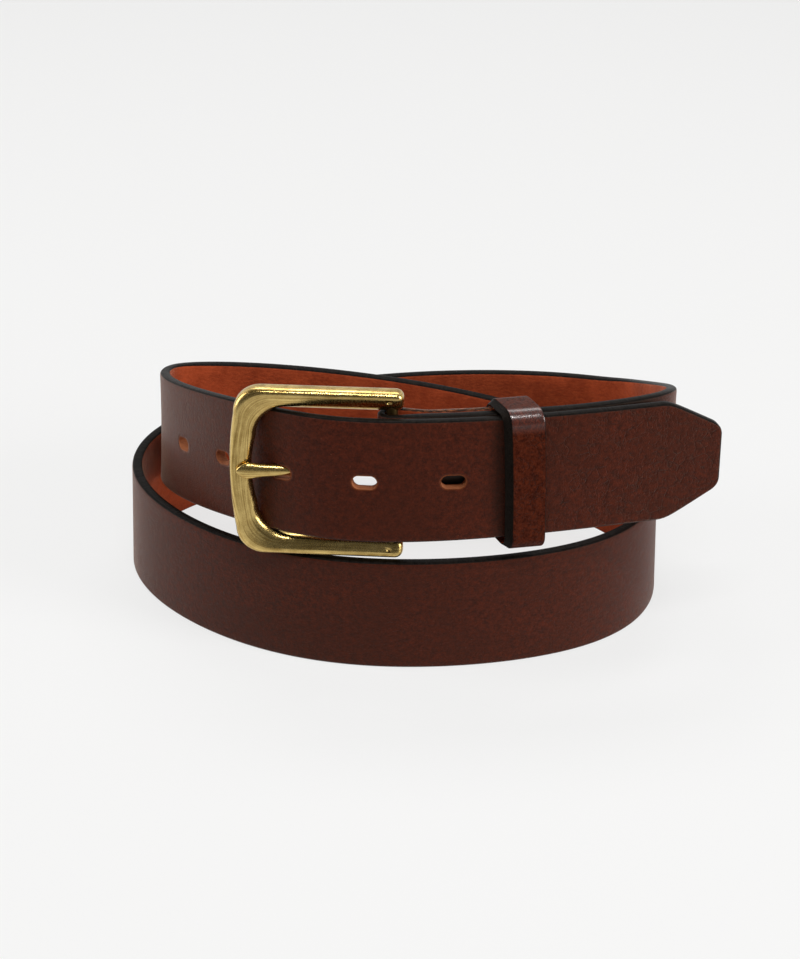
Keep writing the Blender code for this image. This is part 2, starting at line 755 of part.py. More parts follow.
def build_keeper(keeper):
    sections = []
    soft = KEEPER_EDGE
    half = KEEPER_WIDTH / 2.0
    wall = KEEPER_THICKNESS
    profile = ((0.0, -half + soft), (soft, -half), (wall - soft, -half), (wall, -half + soft),
               (wall, half - soft), (wall - soft, half), (soft, half), (0.0, half - soft))
    for rise, face, out_rise, out_face in keeper.loop():
        sections.append([keeper.place(a, rise + out_rise * d, face + out_face * d) for d, a in profile])
    loop = loft("keeper_loop", sections)
    radius = STAPLE_WIRE / 2.0 + STAPLE_GAP
    for side in (-1.0, 1.0):
        inner = keeper.place(0.0, side * STAPLE_SPAN / 2.0, -keeper.half_depth)
        start = inner + keeper.outward() * KEEPER_EDGE
        profile = ((0.0, radius), (KEEPER_THICKNESS + 3.0 * KEEPER_EDGE, radius))
        drill = turned("leg_hole", start, -keeper.outward(), keeper.rise, profile, WIRE_SIDES)
        combine(loop, drill, "DIFFERENCE")
    return finish(loop, *KEEPER_LEATHER, origin=keeper.origin)


def build_staple(keeper):
    """Wire staple across the butt joint: crown outside, a leg through each end."""
    radius = STAPLE_WIRE / 2.0
    crown = -keeper.half_depth - KEEPER_THICKNESS - STAPLE_GAP - radius
    leg_end = -keeper.half_depth - STAPLE_GAP / 2.0
    half = STAPLE_SPAN / 2.0
    bend = STAPLE_WIRE
    path = [(half, leg_end), (half, crown + bend)]
    for k in (1, 2, 3):
        angle = math.radians(30.0 * k)
        path.append((half - bend * (1.0 - math.cos(angle)), crown + bend * (1.0 - math.sin(angle))))
    path += [(-rise, face) for rise, face in path[::-1]]
    sections = []
    for k, (rise, face) in enumerate(path):
        before, after = path[max(k - 1, 0)], path[min(k + 1, len(path) - 1)]
        along = unit(np.array((after[0] - before[0], after[1] - before[1])))
        across = keeper.rise * -along[1] + keeper.outward() * along[0]
        sideways = np.cross(keeper.rise, keeper.outward())
        sections.append(ring_points(keeper.place(0.0, rise, face), across, sideways, radius, WIRE_SIDES))
    return finish(loft("keeper_staple", sections), *STEEL, origin=keeper.origin)


def least_gap(route, buckle):
    """Least clear distance between lengths of the strap that lie side by side, on sampled points."""
    spots = np.arange(0.0, buckle.tip_end, 1.5)
    levels = np.linspace(-1.0, 1.0, 9)
    rows = []
    for spot in spots:
        point, along, normal, width = route.at(spot)
        half = tip_half_width(buckle.tip_end - spot)
        rows.append([point + width * half * level for level in levels])
    points = np.array(rows)
    least = math.inf
    for i in range(len(spots)):
        far = points[spots > spots[i] + 3.0 * STRAP_WIDTH].reshape(-1, 3)
        if len(far):
            gaps = np.linalg.norm(points[i][:, None, :] - far[None], axis=2)
            least = min(least, float(gaps.min()))
    return least - STRAP_THICKNESS


def recentre(items):
    """Move every piece so that the origin is under the middle of the whole belt."""
    corners = np.array([item.matrix_basis @ Vector(c) for item in items for c in item.bound_box])
    shift = -(corners.min(axis=0) + corners.max(axis=0)) / 2.0
    shift[2] = -corners[:, 2].min()
    for item in items:
        item.location = item.location + Vector(shift)
    return shift / MM


def main():
    clear_scene()
    route = Route()
    buckle = Buckle(route)
    keeper = Keeper(route)
    items = [build_strap(route, buckle), build_keeper(keeper), build_staple(keeper)]
    items += [build_frame(route, buckle), build_bar(buckle), build_prong(route, buckle)]
    for name, distance in (("near", NEAR_POST_FROM_BAR), ("far", FAR_POST_FROM_BAR)):
        items.append(build_post("screw_post_" + name, route, distance))
        items.append(build_screw("post_screw_" + name, route, distance))
    bpy.context.view_layer.update()
    shift = recentre(items)
    print("least gap of the strap to itself, mm:", round(least_gap(route, buckle), 2))
    print("strap from heel bar to middle hole, mm:", round(buckle.hole_at, 1))
    print("heel bar middle, mm:", np.round(buckle.origin + shift, 3))
    print("heel bar direction:", np.round(buckle.rise, 5))
    print("keeper middle, mm:", np.round(keeper.origin + shift, 3))
    print("keeper slide direction:", np.round(keeper.along, 5))


main()
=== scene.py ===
import math

import bmesh
import bpy
import numpy as np
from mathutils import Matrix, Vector


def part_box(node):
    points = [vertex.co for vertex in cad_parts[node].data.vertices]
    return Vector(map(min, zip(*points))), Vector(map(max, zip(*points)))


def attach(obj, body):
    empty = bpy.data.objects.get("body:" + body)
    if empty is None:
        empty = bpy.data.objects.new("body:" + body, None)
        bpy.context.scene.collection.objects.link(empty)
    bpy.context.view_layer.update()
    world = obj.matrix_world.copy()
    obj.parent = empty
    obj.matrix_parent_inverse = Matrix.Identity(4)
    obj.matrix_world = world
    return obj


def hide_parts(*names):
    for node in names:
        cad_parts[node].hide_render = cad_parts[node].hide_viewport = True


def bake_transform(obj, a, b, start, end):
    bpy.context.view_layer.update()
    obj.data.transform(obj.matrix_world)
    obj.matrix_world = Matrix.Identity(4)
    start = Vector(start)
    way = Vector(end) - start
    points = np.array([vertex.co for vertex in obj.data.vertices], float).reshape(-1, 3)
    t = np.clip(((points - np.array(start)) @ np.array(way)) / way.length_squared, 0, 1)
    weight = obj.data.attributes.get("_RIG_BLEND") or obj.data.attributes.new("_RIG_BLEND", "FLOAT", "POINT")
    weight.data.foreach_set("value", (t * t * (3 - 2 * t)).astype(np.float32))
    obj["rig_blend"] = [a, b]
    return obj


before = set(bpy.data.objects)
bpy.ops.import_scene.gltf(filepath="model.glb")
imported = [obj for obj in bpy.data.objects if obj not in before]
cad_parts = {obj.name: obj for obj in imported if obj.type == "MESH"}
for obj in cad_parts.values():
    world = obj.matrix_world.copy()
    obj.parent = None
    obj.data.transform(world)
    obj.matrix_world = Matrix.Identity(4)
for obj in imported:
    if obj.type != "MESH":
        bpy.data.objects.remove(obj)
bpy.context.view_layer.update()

MM = 0.001
METRE = 1.0 / MM

# Strap, in millimetres
STRAP_WIDTH = 38.0
STRAP_THICKNESS = 3.3
EDGE_RADIUS = 1.0
EDGE_FLAT = 0.2
FOLD_THICKNESS = 2.2
SKIVE_LENGTH = 12.0
FOLD_LENGTH = 64.0
TONGUE_LENGTH = 24.0
TONGUE_END_WIDTH = 13.0
TONGUE_NIB_WIDTH = 3.2
TIP_CUT_LENGTH = 16.5
TIP_END_WIDTH = 19.0
TIP_CORNER = 2.5
COIL_WIDTH = 171.0
COIL_DEPTH = 107.0
TURN_GAP = 0.5
LAP_GAP = 0.7
FOLD_GAP = 0.5
PAINT_START = -13.0
PAINT_FADE = 5.0

# Holes
HOLE_PITCH = 25.4
HOLE_LENGTH = 7.3
HOLE_WIDTH = 4.2
HOLES_EACH_SIDE = 2
HOLE_TO_TIP = 130.7
HOLE_TO_BAR = 33.0

# Buckle
BAR_DIAMETER = 3.5
BAR_GAP = 0.3
BAR_FIT = 0.2
FRAME_REACH = 44.5
FRAME_DEPTH = 5.4
ARM_HEIGHT = 6.3
ARM_OVERHANG = 3.5
ARM_END_ROUND = 3.0
FRONT_BAR_WIDTH = 6.3
FRONT_BAR_BOW = 1.5
FRAME_PLAY = 1.0
OUTER_CORNER = 8.0
INNER_CORNER = 9.5
FRAME_REST_GAP = 3.1
FRAME_SAG = 0.7
FRAME_DROP = 0.1
PUNCH_MARK = 0.9
PUNCH_MARK_REACH = 0.6
PUNCH_MARK_LIFT = 0.35
PUNCH_MARK_TURN = 1.45
BORE_SHARE = 0.7
ARM_END_SHARES = (0.0, 0.03, 0.09, 0.18, 0.3, 0.45, 0.62, 0.8)
ARM_END_POWER = 2.6

# Prong
PRONG_THICKNESS = 2.5
PRONG_POINT = 3.4
PRONG_SHORT_OF_EDGE = 2.4
PRONG_RING_WALL = 1.9
PRONG_RING_WIDTH = 5.0
PRONG_RING_CHAMFER = 0.4
PRONG_GAP = 0.3
PRONG_RISE = 0.7
PRONG_POINT_THICKNESS = 0.12
PRONG_POINT_POWER = 0.6
PRONG_POINT_SHARES = (0.003, 0.02, 0.06, 0.12, 0.2, 0.32, 0.46, 0.62, 0.8, 1.0)
PRONG_RING_SOFT = 0.3
SEAT_DEPTH = 1.0
SLOT_LENGTH = 12.0

# Keeper
KEEPER_WIDTH = 10.0
KEEPER_THICKNESS = 2.0
KEEPER_PLAY = 1.3
KEEPER_SAG = 0.7
KEEPER_SLANT = 0.24
KEEPER_EDGE = 0.5
KEEPER_GAP = 0.5
KEEPER_CORNER = 2.2
KEEPER_FROM_BAR = 36.5
KEEPER_BUTT_GAP = 0.4
KEEPER_BOW = 0.9
KEEPER_BEVEL = 0.36
KEEPER_SKIVE = 0.2
STAPLE_SPAN = 8.0
STAPLE_WIRE = 1.0
STAPLE_GAP = 0.3
LEG_HOLE_DEPTH = 1.8

# Screw posts
POST_HEAD_DIAMETER = 9.0
POST_HEAD_HEIGHT = 1.0
POST_DIAMETER = 4.4
POST_GAP = 0.35
POSTS_FROM_BAR = (17.0, 54.0)

# Stations of the strap's route: percent of the coil's half width and half depth, height in percent of the
# strap's width, inward lean in degrees, and the number of turns that lie outside it.
COIL_STATIONS = (
    (95.1, -54.7, 113.6, 5.6, 0),
    (93.2, 26.8, 60.6, 2.8, 0),
    (65.8, 69.5, 40.5, 1.3, 0),
    (-1.5, 101.1, 17.6, 2.1, 0),
    (-75.6, 83.0, 0.0, 5.2, 0),
    (-99.0, 4.6, -1.6, 3.2, 0),
    (-61.3, -71.6, -1.6, 0.0, 0),
    (0.6, -100.0, -1.6, 0.0, 0),
    (65.5, -80.7, -1.6, 0.0, 0),
    (98.0, -30.7, 0.0, 2.0, 1),
    (82.1, 38.8, 10.4, 5.3, 1),
    (6.7, 78.9, 32.4, 3.2, 1),
    (-75.0, 68.0, 56.8, 2.2, 1),
    (-88.7, 8.1, 79.2, 3.8, 1),
    (-50.1, -73.0, 115.8, 6.0, 0),
    (-10.3, -102.3, 124.2, 7.5, 0),
    (47.2, -97.2, 125.8, 4.4, 0),
    (113.6, -75.6, 127.2, 2.5, 0),
)
FRONT_STATIONS = 6
LAP_STATIONS = (3.17, 3.6, 4.0, 4.35)

# Lengths that the strap is cut into, from the middle hole, and the four of them that bend: name, the bodies
# at their ends, and the lengths between which they bend
STRAP_SPLITS = (-77.5, -17.5, 10.5, 32.5, 57.0)
STRAP_BENDS = (
    ("strap_behind_front_bar", "strap", "buckle", -75.5, -19.5),
    ("strap_at_prong", "buckle", "prong", -16.0, -4.0),
    ("strap_inside_buckle", "prong", "buckle", 12.5, 30.5),
    ("strap_over_heel_bar", "buckle", "strap", 34.5, 52.0),
)

# Steps that give the route's direction, in stations
TANGENT_STEP = 0.002
LAP_TANGENT_STEP = 0.01

# Mesh steps: lengths in millimetres, the weld in metres and the wrap in degrees
RUN_STEP = 1.6
SMALL_STEP = 0.25
LENGTH_STEP = 0.5
TIP_STOPS = (0.0, 0.04, 0.12, 0.25, 0.45, 0.7, 1.0, 1.4, 1.9, 2.5)
WELD_DISTANCE = 1e-6
WRAP_STEP = 6

# Counts of mesh points
ROUTE_SAMPLES = 4001
TONGUE_STOPS = 15
ROUND_SIDES = 40
PUNCH_MARK_SIDES = 20
PUNCH_MARK_STOPS = 11
ARM_STOPS = 14
FRAME_CORNER_STEPS = 18
FRONT_BAR_STOPS = 16
PRONG_STOPS = 72
KEEPER_BACK_STOPS = 14
KEEPER_FRONT_STOPS = 18
KEEPER_CORNER_STEPS = 10

# Colours in linear light: tones run from dark to pale
GRAIN_TONES = ((0.028, 0.0046, 0.0021), (0.090, 0.0140, 0.0050))
KEEPER_TONES = ((0.030, 0.0047, 0.0019), (0.100, 0.0175, 0.0060))
FLESH_TONES = ((0.22, 0.034, 0.0105), (0.46, 0.080, 0.025))
PAINT_TONES = ((0.0030, 0.0022, 0.0018), (0.0085, 0.0064, 0.0052))
EDGE_TONES = ((0.0030, 0.0022, 0.0018), (0.0110, 0.0080, 0.0062))
RAW_EDGE_TONES = ((0.016, 0.006, 0.004), (0.33, 0.10, 0.035))
CUT_TONES = ((0.21, 0.058, 0.018), (0.46, 0.155, 0.052))
PRESSED_TONES = ((0.024, 0.005, 0.0025), (0.06, 0.013, 0.006))
BRASS_TONES = ((0.31, 0.192, 0.050), (0.80, 0.59, 0.225))
# Brass painted darker as shade, for the heel bar that sits between the arms under the fold
SHADED_BRASS_TONES = ((0.07, 0.045, 0.016), (0.15, 0.10, 0.035))
STEEL_TONES = ((0.028, 0.025, 0.022), (0.070, 0.064, 0.058))
GLOSS_TINT = (1.0, 0.78, 0.62, 1.0)
SHEEN_TINT = (1.0, 0.70, 0.55, 1.0)
POLISH_TINT = (1.0, 0.82, 0.74, 1.0)

# Layers over the grain, two of them painted shade: their share and colour
DRIFT = (0.4, (0.040, 0.0075, 0.0032))
# Painted shade: the buckle end under the free end, darkened nearly to black
LAP_SHADE = (0.92, (0.004, 0.003, 0.002))
FLECKS = (0.5, (0.19, 0.06, 0.03))
CREASES = (0.6, (0.018, 0.006, 0.004))
# Painted shadow that the keeper casts on the strap beside its left edge
KEEPER_SHADOW = (0.5, (0.006, 0.002, 0.001))
WEAR = (0.6, (0.21, 0.056, 0.018))
KEEPER_CREASES = (0.7, (0.020, 0.006, 0.004))

# Where the finishes and the painted shade lie, in millimetres along the sheet, from its end or from a hole's
# rim
SIDES_APART = 4.0
TONGUE_EDGE = 0.5
TIP_EDGE = 1.2
CREASED_TIP = 90.0
FULLY_CREASED_TIP = 25.0
# Length of the buckle end that gets painted shade, where the free end lies over it
LAP_SHADE_FROM = (4.0, 9.0)
LAP_SHADE_TO = (85.0, 70.0)
# How far the keeper's painted shadow reaches before and after its left edge
KEEPER_SHADOW_BEFORE = 5.0
KEEPER_SHADOW_AFTER = 6.0
WORN_WIDTH = 0.6
RIM_DIP_WIDTH = 0.9
ROLL_FROM = (29.5, 32.0)
ROLL_TO = (38.0, 33.0)

# Patterns: heights and depths in the relief, the warp of the leather's cells, and shares
PEBBLE_HEIGHT = 0.35
HIDE_HEIGHT = 0.6
NAP_HEIGHT = 2.5
STREAK_HEIGHT = 1.2
RIM_DIP = 1.5
TIP_CREASES = (0.25, 0.9)
TIP_WRINKLES = (0.0, 0.8)
CREASE_BAND = (0.09, 0.0)
CELL_WARP = 0.9
FLECK_SCALE = 0.28
COARSE_SHARE = 0.4
CLOUD_SHARE = 0.5

# Bands of the side, edge and nap masks, the least mask of an edge face, and roughness
FLESH_BAND = (0.1, -0.1)
POLISH_BAND = (0.5, 0.8)
STRAP_EDGE_BAND = (0.42, 0.58)
KEEPER_EDGE_BAND = (0.3, 0.5)
RAW_BAND = (0.5, 0.62)
EDGE_SHARE = 0.55
STRAP_ROUGHNESS = (0.38, 0.50)
KEEPER_ROUGHNESS = (0.25, 0.36)
FLESH_ROUGHNESS = 0.85
EDGE_ROUGHNESS = 0.46

# Aged metal
MARK_SIZE = 0.3
STREAK_SHARE = 0.72
SMOOTHER = 0.05
ROUGHER = 0.08

# Floor, in metres, and the world's strength by kind of ray
FLOOR_HALF = 3.0
FLOOR_COLOUR = (0.86, 0.855, 0.85)
FLOOR_BOUNCE = (0.45, 0.447, 0.444)
FLOOR_GLOW = (0.90, 0.90, 0.895, 1.0)
FLOOR_GLOW_SHARE = 0.8
FLOOR_DIM = 0.62
FLOOR_DIM_RANGE = (-0.10, -0.15)
BACKDROP_RANGE = (-0.3, 0.6)
BACKDROP_STRENGTH = (0.12, 0.8)
AMBIENT_STRENGTH = 0.14
CAMERA_STRENGTH = 0.9

# Lamps: name, place and size in metres, power in watts
LAMPS = (
    ("overhead_front", (0.0, -0.55, 1.05), (0.5, 0.07), 4.5),
    ("overhead_back", (0.0, 0.5, 1.05), (0.9, 0.35), 5.0),
    ("left", (-1.1, 0.0, 0.45), (0.4, 0.7), 6.5),
    ("right", (1.0, -0.5, 0.5), (0.4, 0.7), 11.0),
)
LAMP_TARGET = (0.0, 0.0, 0.05)

# Camera, fitted to the photograph's frame of 800 by 959; the target is in the route's own axes
CAMERA_TARGET = (0.8, -10.3, 40.5)
CAMERA_DISTANCE = 598.6
CAMERA_ELEVATION = 30.44
CAMERA_LENS = 71.32


# Route of the strap

def unit(vector):
    return vector / np.linalg.norm(vector)


def ease(share):
    """Smooth step from 0 to 1."""
    share = min(max(share, 0.0), 1.0)
    return share * share * (3.0 - 2.0 * share)


def spline_bends(knots):
    """Second derivatives of the natural cubic through knots one unit apart."""
    matrix = np.eye(len(knots))
    right = np.zeros_like(knots)
    for i in range(1, len(knots) - 1):
        matrix[i, i - 1:i + 2] = (1.0, 4.0, 1.0)
        right[i] = 6.0 * (knots[i - 1] - 2.0 * knots[i] + knots[i + 1])
    return np.linalg.solve(matrix, right)


def spline_at(knots, bends, where):
    i = min(int(where), len(knots) - 2)
    b = where - i
    a = 1.0 - b
    curve = (a ** 3 - a) * bends[i] + (b ** 3 - b) * bends[i + 1]
    return a * knots[i] + b * knots[i + 1] + curve / 6.0


def station_knots():
    """Stations as x, y, height of the strap's middle and lean."""
    wide, deep = COIL_WIDTH / 2.0, COIL_DEPTH / 2.0
    knots = []
    for across, back, high, lean, outside in COIL_STATIONS:
        x = across / 100.0 * wide
        y = back / 100.0 * deep
        inward = -unit(np.array((x / wide ** 2, y / deep ** 2)))
        x, y = np.array((x, y)) + inward * outside * (STRAP_THICKNESS + TURN_GAP)
        knots.append((x, y, (0.5 + high / 100.0) * STRAP_WIDTH, lean))
    return np.array(knots)


def lap_knots(knots):
    """Stations of the buckle end, one strap thickness behind the free end that covers it."""
    front = knots[-FRONT_STATIONS:]
    bends = spline_bends(front)
    behind = STRAP_THICKNESS + LAP_GAP
    laps = []
    for where in LAP_STATIONS:
        point = spline_at(front, bends, where)
        ahead = spline_at(front, bends, where + LAP_TANGENT_STEP)
        out = section_axes(ahead[:3] - point[:3], point[3])[1]
        laps.append((*(point[:3] - out * behind), point[3]))
    return np.array(laps)


def section_axes(along, lean):
    """Unit tangent, grain-side normal and width direction of a strap that leans inward."""
    along = unit(along)
    up = unit(np.array((0.0, 0.0, 1.0)) - along * along[2])
    out = np.cross(along, up)
    angle = math.radians(lean)
    width = up * math.cos(angle) - out * math.sin(angle)
    normal = out * math.cos(angle) + up * math.sin(angle)
    return along, normal, width


def standing_height(lean):
    """Height of the strap's middle when its lower edge just touches the ground."""
    angle = math.radians(lean)
    half = STRAP_WIDTH / 2.0 - EDGE_RADIUS
    thick = STRAP_THICKNESS / 2.0 - EDGE_RADIUS
    return half * math.cos(angle) + thick * abs(math.sin(angle)) + EDGE_RADIUS


class Route:
    """Middle line of the strap, measured by length from the heel bar."""

    def __init__(self):
        knots = station_knots()
        self.knots = np.vstack([lap_knots(knots), knots])
        self.bends = spline_bends(self.knots)
        steps = np.linspace(0.0, len(self.knots) - 1.0, ROUTE_SAMPLES)
        points = np.array([self.spot(step)[:3] for step in steps])
        lengths = np.linalg.norm(np.diff(points, axis=0), axis=1)
        self.steps = steps
        self.lengths = np.concatenate([[0.0], np.cumsum(lengths)])
        self.length = self.lengths[-1]

    def spot(self, step):
        spot = spline_at(self.knots, self.bends, step)
        spot[2] = max(spot[2], standing_height(spot[3]))
        return spot

    def at(self, distance):
        """Point, tangent, grain normal and width direction at a length from the heel bar."""
        step = np.interp(distance, self.lengths, self.steps)
        low = max(step - TANGENT_STEP, 0.0)
        high = min(step + TANGENT_STEP, self.steps[-1])
        here = self.spot(step)
        along = self.spot(high)[:3] - self.spot(low)[:3]
        return (here[:3], *section_axes(along, here[3]))


def tip_half_width(to_end):
    """Half width of the free end, with straight cut corners to a blunt end."""
    half = STRAP_WIDTH / 2.0
    blunt = TIP_END_WIDTH / 2.0
    slope = (half - blunt) / TIP_CUT_LENGTH
    soft = TIP_CORNER
    cut = blunt + slope * to_end
    cut = 0.5 * (cut + half - math.sqrt((cut - half) ** 2 + soft ** 2 / 4.0)) + soft / 8.0
    if to_end < TIP_CORNER:
        short = 1.0 - to_end / TIP_CORNER
        cut -= TIP_CORNER * (1.0 - math.sqrt(max(1.0 - short * short, 0.0)))
    return min(cut, half)


def tongue_half_width(to_end):
    """Half width of the folded-back end, narrowed to a rounded tongue."""
    half = STRAP_WIDTH / 2.0
    narrow = TONGUE_END_WIDTH / 2.0
    width = narrow + (half - narrow) * ease((to_end - narrow) / TONGUE_LENGTH)
    if to_end < narrow:
        short = 1.0 - to_end / narrow
        width = max(narrow * math.sqrt(1.0 - short * short), TONGUE_NIB_WIDTH / 2.0)
    return width


def fold_offset(distance):
    """From the buckle end's grain face back to the grain face of the fold behind it."""
    at_bar = BAR_DIAMETER + 2.0 * (BAR_GAP + FOLD_THICKNESS)
    flat = STRAP_THICKNESS + FOLD_GAP + FOLD_THICKNESS
    return at_bar + (flat - at_bar) * ease(distance / SKIVE_LENGTH)


def width_near_bar(buckle, width, distance):
    """Width direction of the strap, turned to lie along the heel bar where it is close to it."""
    return unit(buckle.rise + (width - buckle.rise) * ease(abs(distance) / SKIVE_LENGTH))


def base_thickness(distance):
    return FOLD_THICKNESS + (STRAP_THICKNESS - FOLD_THICKNESS) * ease(distance / SKIVE_LENGTH)


class Buckle:
    """Local axes of the buckle: reach towards the front bar, rise along the heel bar, face outwards."""

    def __init__(self, route):
        point, _, normal, width = route.at(0.0)
        grain = point + normal * STRAP_THICKNESS / 2.0
        radius = BAR_DIAMETER / 2.0 + BAR_GAP + FOLD_THICKNESS
        self.origin = grain - normal * radius
        tail = route.length
        start = tail - HOLE_TO_TIP - 2.0 * HOLE_TO_BAR
        self.tip_at_bar = self.nearest(route, start, tail, self.origin)
        under = route.at(self.tip_at_bar - FRAME_REACH)
        lift = STRAP_THICKNESS / 2.0 + FRAME_REST_GAP + FRAME_DEPTH / 2.0
        target = under[0] + under[2] * lift
        target[2] = self.origin[2] - FRAME_DROP
        reach = unit(target - self.origin)
        self.rise = unit(width - reach * (width @ reach))
        self.reach = reach
        self.face = np.cross(self.rise, self.reach)
        self.hole_at = self.tip_at_bar - HOLE_TO_BAR
        self.tip_end = self.hole_at + HOLE_TO_TIP

    @staticmethod
    def nearest(route, start, end, point):
        spots = np.arange(start, end, SMALL_STEP)
        gaps = [np.linalg.norm(route.at(spot)[0] - point) for spot in spots]
        return float(spots[int(np.argmin(gaps))])

    def place(self, reach, rise, face):
        return self.origin + self.reach * reach + self.rise * rise + self.face * face

    def local(self, point):
        offset = point - self.origin
        return float(offset @ self.reach), float(offset @ self.rise), float(offset @ self.face)


class Keeper:
    """Local axes and inner size of the keeper loop."""

    def __init__(self, route):
        self.origin, self.along, self.face, self.rise = route.at(KEEPER_FROM_BAR)
        front = STRAP_THICKNESS * 1.5 + LAP_GAP + KEEPER_GAP
        back = fold_offset(KEEPER_FROM_BAR) - STRAP_THICKNESS / 2.0 + KEEPER_GAP
        self.middle = (front - back) / 2.0
        self.half_depth = (front + back) / 2.0
        self.half_height = STRAP_WIDTH / 2.0 + KEEPER_PLAY

    def place(self, along, rise, face):
        slid = along + KEEPER_SLANT * face
        hung = rise - KEEPER_SAG
        return self.origin + self.along * slid + self.rise * hung + self.face * (self.middle + face)

    def outward(self):
        """Direction of the loop's depth, slanted along the strap."""
        return unit(self.face + self.along * KEEPER_SLANT)

    def loop(self):
        """Middle line of the loop's wall from butt to butt, as (rise, face, outward rise, outward face)."""
        edge = KEEPER_BUTT_GAP / 2.0
        wall = KEEPER_THICKNESS / 2.0
        deep, high, radius = self.half_depth + wall, self.half_height + wall, KEEPER_CORNER + wall
        back = np.linspace(edge, high - radius, KEEPER_BACK_STOPS)[:-1]
        upper = [(rise, -deep, 0.0, -1.0) for rise in back]
        for side, start in ((-1.0, 270.0), (1.0, 0.0)):
            for k in range(KEEPER_CORNER_STEPS + 1):
                angle = math.radians(start + 90.0 * k / KEEPER_CORNER_STEPS)
                out_rise, out_face = math.cos(angle), math.sin(angle)
                rise = high - radius + radius * out_rise
                upper.append((rise, side * (deep - radius) + radius * out_face, out_rise, out_face))
        front = np.linspace(high - radius, 0.0, KEEPER_FRONT_STOPS)[1:]
        upper += [(rise, deep, 0.0, 1.0) for rise in front]
        lower = [(-rise, face, -out_rise, out_face) for rise, face, out_rise, out_face in upper[::-1]]
        return upper + lower[1:]


route = Route()
buckle = Buckle(route)
keeper = Keeper(route)


def centring():
    """Offset from the route's own axes to the frame, taken from the heel bar's place."""
    low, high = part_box("heel_bar")
    middle = (np.array(low) + np.array(high)) / 2.0 / MM
    return middle - (buckle.origin - buckle.rise * FRAME_SAG)


SHIFT = centring()


def to_frame(point):
    return Vector((np.asarray(point) + SHIFT) * MM)


# Mesh tools

def new_object(name, points, faces):
    mesh = bpy.data.meshes.new(name)
    mesh.from_pydata([to_frame(point) for point in points], [], faces)
    return link_object(name, mesh)


def link_object(name, data):
    item = bpy.data.objects.new(name, data)
    bpy.context.scene.collection.objects.link(item)
    return item


def face_outward(item):
    work = bmesh.new()
    work.from_mesh(item.data)
    bmesh.ops.recalc_face_normals(work, faces=work.faces)
    work.to_mesh(item.data)
    work.free()


def loft(name, sections, closed=False):
    """Closed skin over sections that have the same number of points."""
    size = len(sections[0])
    points = [point for section in sections for point in section]
    faces = []
    spans = len(sections) if closed else len(sections) - 1
    for row in range(spans):
        low = row * size
        high = (row + 1) % len(sections) * size
        for k in range(size):
            n = (k + 1) % size
            faces.append((low + k, low + n, high + n, high + k))
    if not closed:
        faces.append(tuple(range(size))[::-1])
        faces.append(tuple(range(len(points) - size, len(points))))
    item = new_object(name, points, faces)
    face_outward(item)
    return item


def ring_points(centre, across, upward, radius, sides=ROUND_SIDES):
    turns = [2.0 * math.pi * k / sides for k in range(sides)]
    return [centre + across * radius * math.cos(t) + upward * radius * math.sin(t) for t in turns]


def turned(name, base, axis, across, profile, sides=ROUND_SIDES):
    """Solid of revolution from (distance along the axis, radius) pairs."""
    upward = np.cross(axis, across)
    sections = [ring_points(base + axis * d, across, upward, r, sides) for d, r in profile]
    return loft(name, sections)


def made_mesh(item):
    """Plain mesh of an object with its modifiers applied."""
    graph = bpy.context.evaluated_depsgraph_get()
    return bpy.data.meshes.new_from_object(item.evaluated_get(graph))


def combine(item, other, operation):
    """Apply a Boolean, with the second solid's own materials on its faces, and remove that solid."""
    step = item.modifiers.new(operation.title(), "BOOLEAN")
    step.operation = operation
    step.solver = "EXACT"
    step.material_mode = "TRANSFER"
    step.object = other
    mesh = made_mesh(item)
    item.modifiers.clear()
    item.data = mesh
    bpy.data.objects.remove(other, do_unlink=True)


def shade(item, smooth_angle):
    """Smooth shading that breaks at edges sharper than the angle."""
    work = bmesh.new()
    work.from_mesh(item.data)
    bmesh.ops.dissolve_degenerate(work, dist=1e-7, edges=work.edges)
    for face in work.faces:
        face.smooth = True
    for edge in work.edges:
        edge.smooth = edge.calc_face_angle(0.0) < math.radians(smooth_angle)
    work.to_mesh(item.data)
    work.free()


# Node tools

def socket(tree, name, kind, where, value=None):
    made = tree.interface.new_socket(name=name, in_out=where, socket_type="NodeSocket" + kind)
    if value is not None:
        made.default_value = value


def group(name, kind, inputs, outputs, output_kind):
    """New node group: its tree, the sockets that bring its inputs and the sockets that take its outputs."""
    tree = bpy.data.node_groups.new(name, kind)
    for key, input_kind, value in inputs:
        socket(tree, key, input_kind, "INPUT", value)
    for key in outputs:
        socket(tree, key, output_kind, "OUTPUT")
    return tree, tree.nodes.new("NodeGroupInput").outputs, tree.nodes.new("NodeGroupOutput").inputs


def feed(tree, target, value):
    """Link a socket, or set a plain value, on an input."""
    if isinstance(value, bpy.types.NodeSocket):
        tree.links.new(value, target)
    else:
        target.default_value = value


def add(tree, kind, inputs=None, **settings):
    node = tree.nodes.new(kind)
    for key, value in settings.items():
        setattr(node, key, value)
    for key, value in (inputs or {}).items():
        feed(tree, node.inputs[key], value)
    return node


def value_of(tree, operation, a, b=0.0, clamp=False):
    return add(tree, "ShaderNodeMath", {0: a, 1: b}, operation=operation, use_clamp=clamp).outputs[0]


def times(tree, a, b):
    return value_of(tree, "MULTIPLY", a, b)


def less(tree, a, b):
    return value_of(tree, "SUBTRACT", a, b)


def one_over(tree, value):
    return value_of(tree, "DIVIDE", 1.0, value)


def whole_of(tree, operation, a, b):
    """Arithmetic in whole numbers."""
    return add(tree, "FunctionNodeIntegerMath", {0: a, 1: b}, operation=operation).outputs[0]


def vector_of(tree, operation, a, b):
    return add(tree, "ShaderNodeVectorMath", {0: a, 1: b}, operation=operation).outputs[0]


def scaled(tree, vector, by):
    return add(tree, "ShaderNodeVectorMath", {0: vector, "Scale": by}, operation="SCALE").outputs[0]


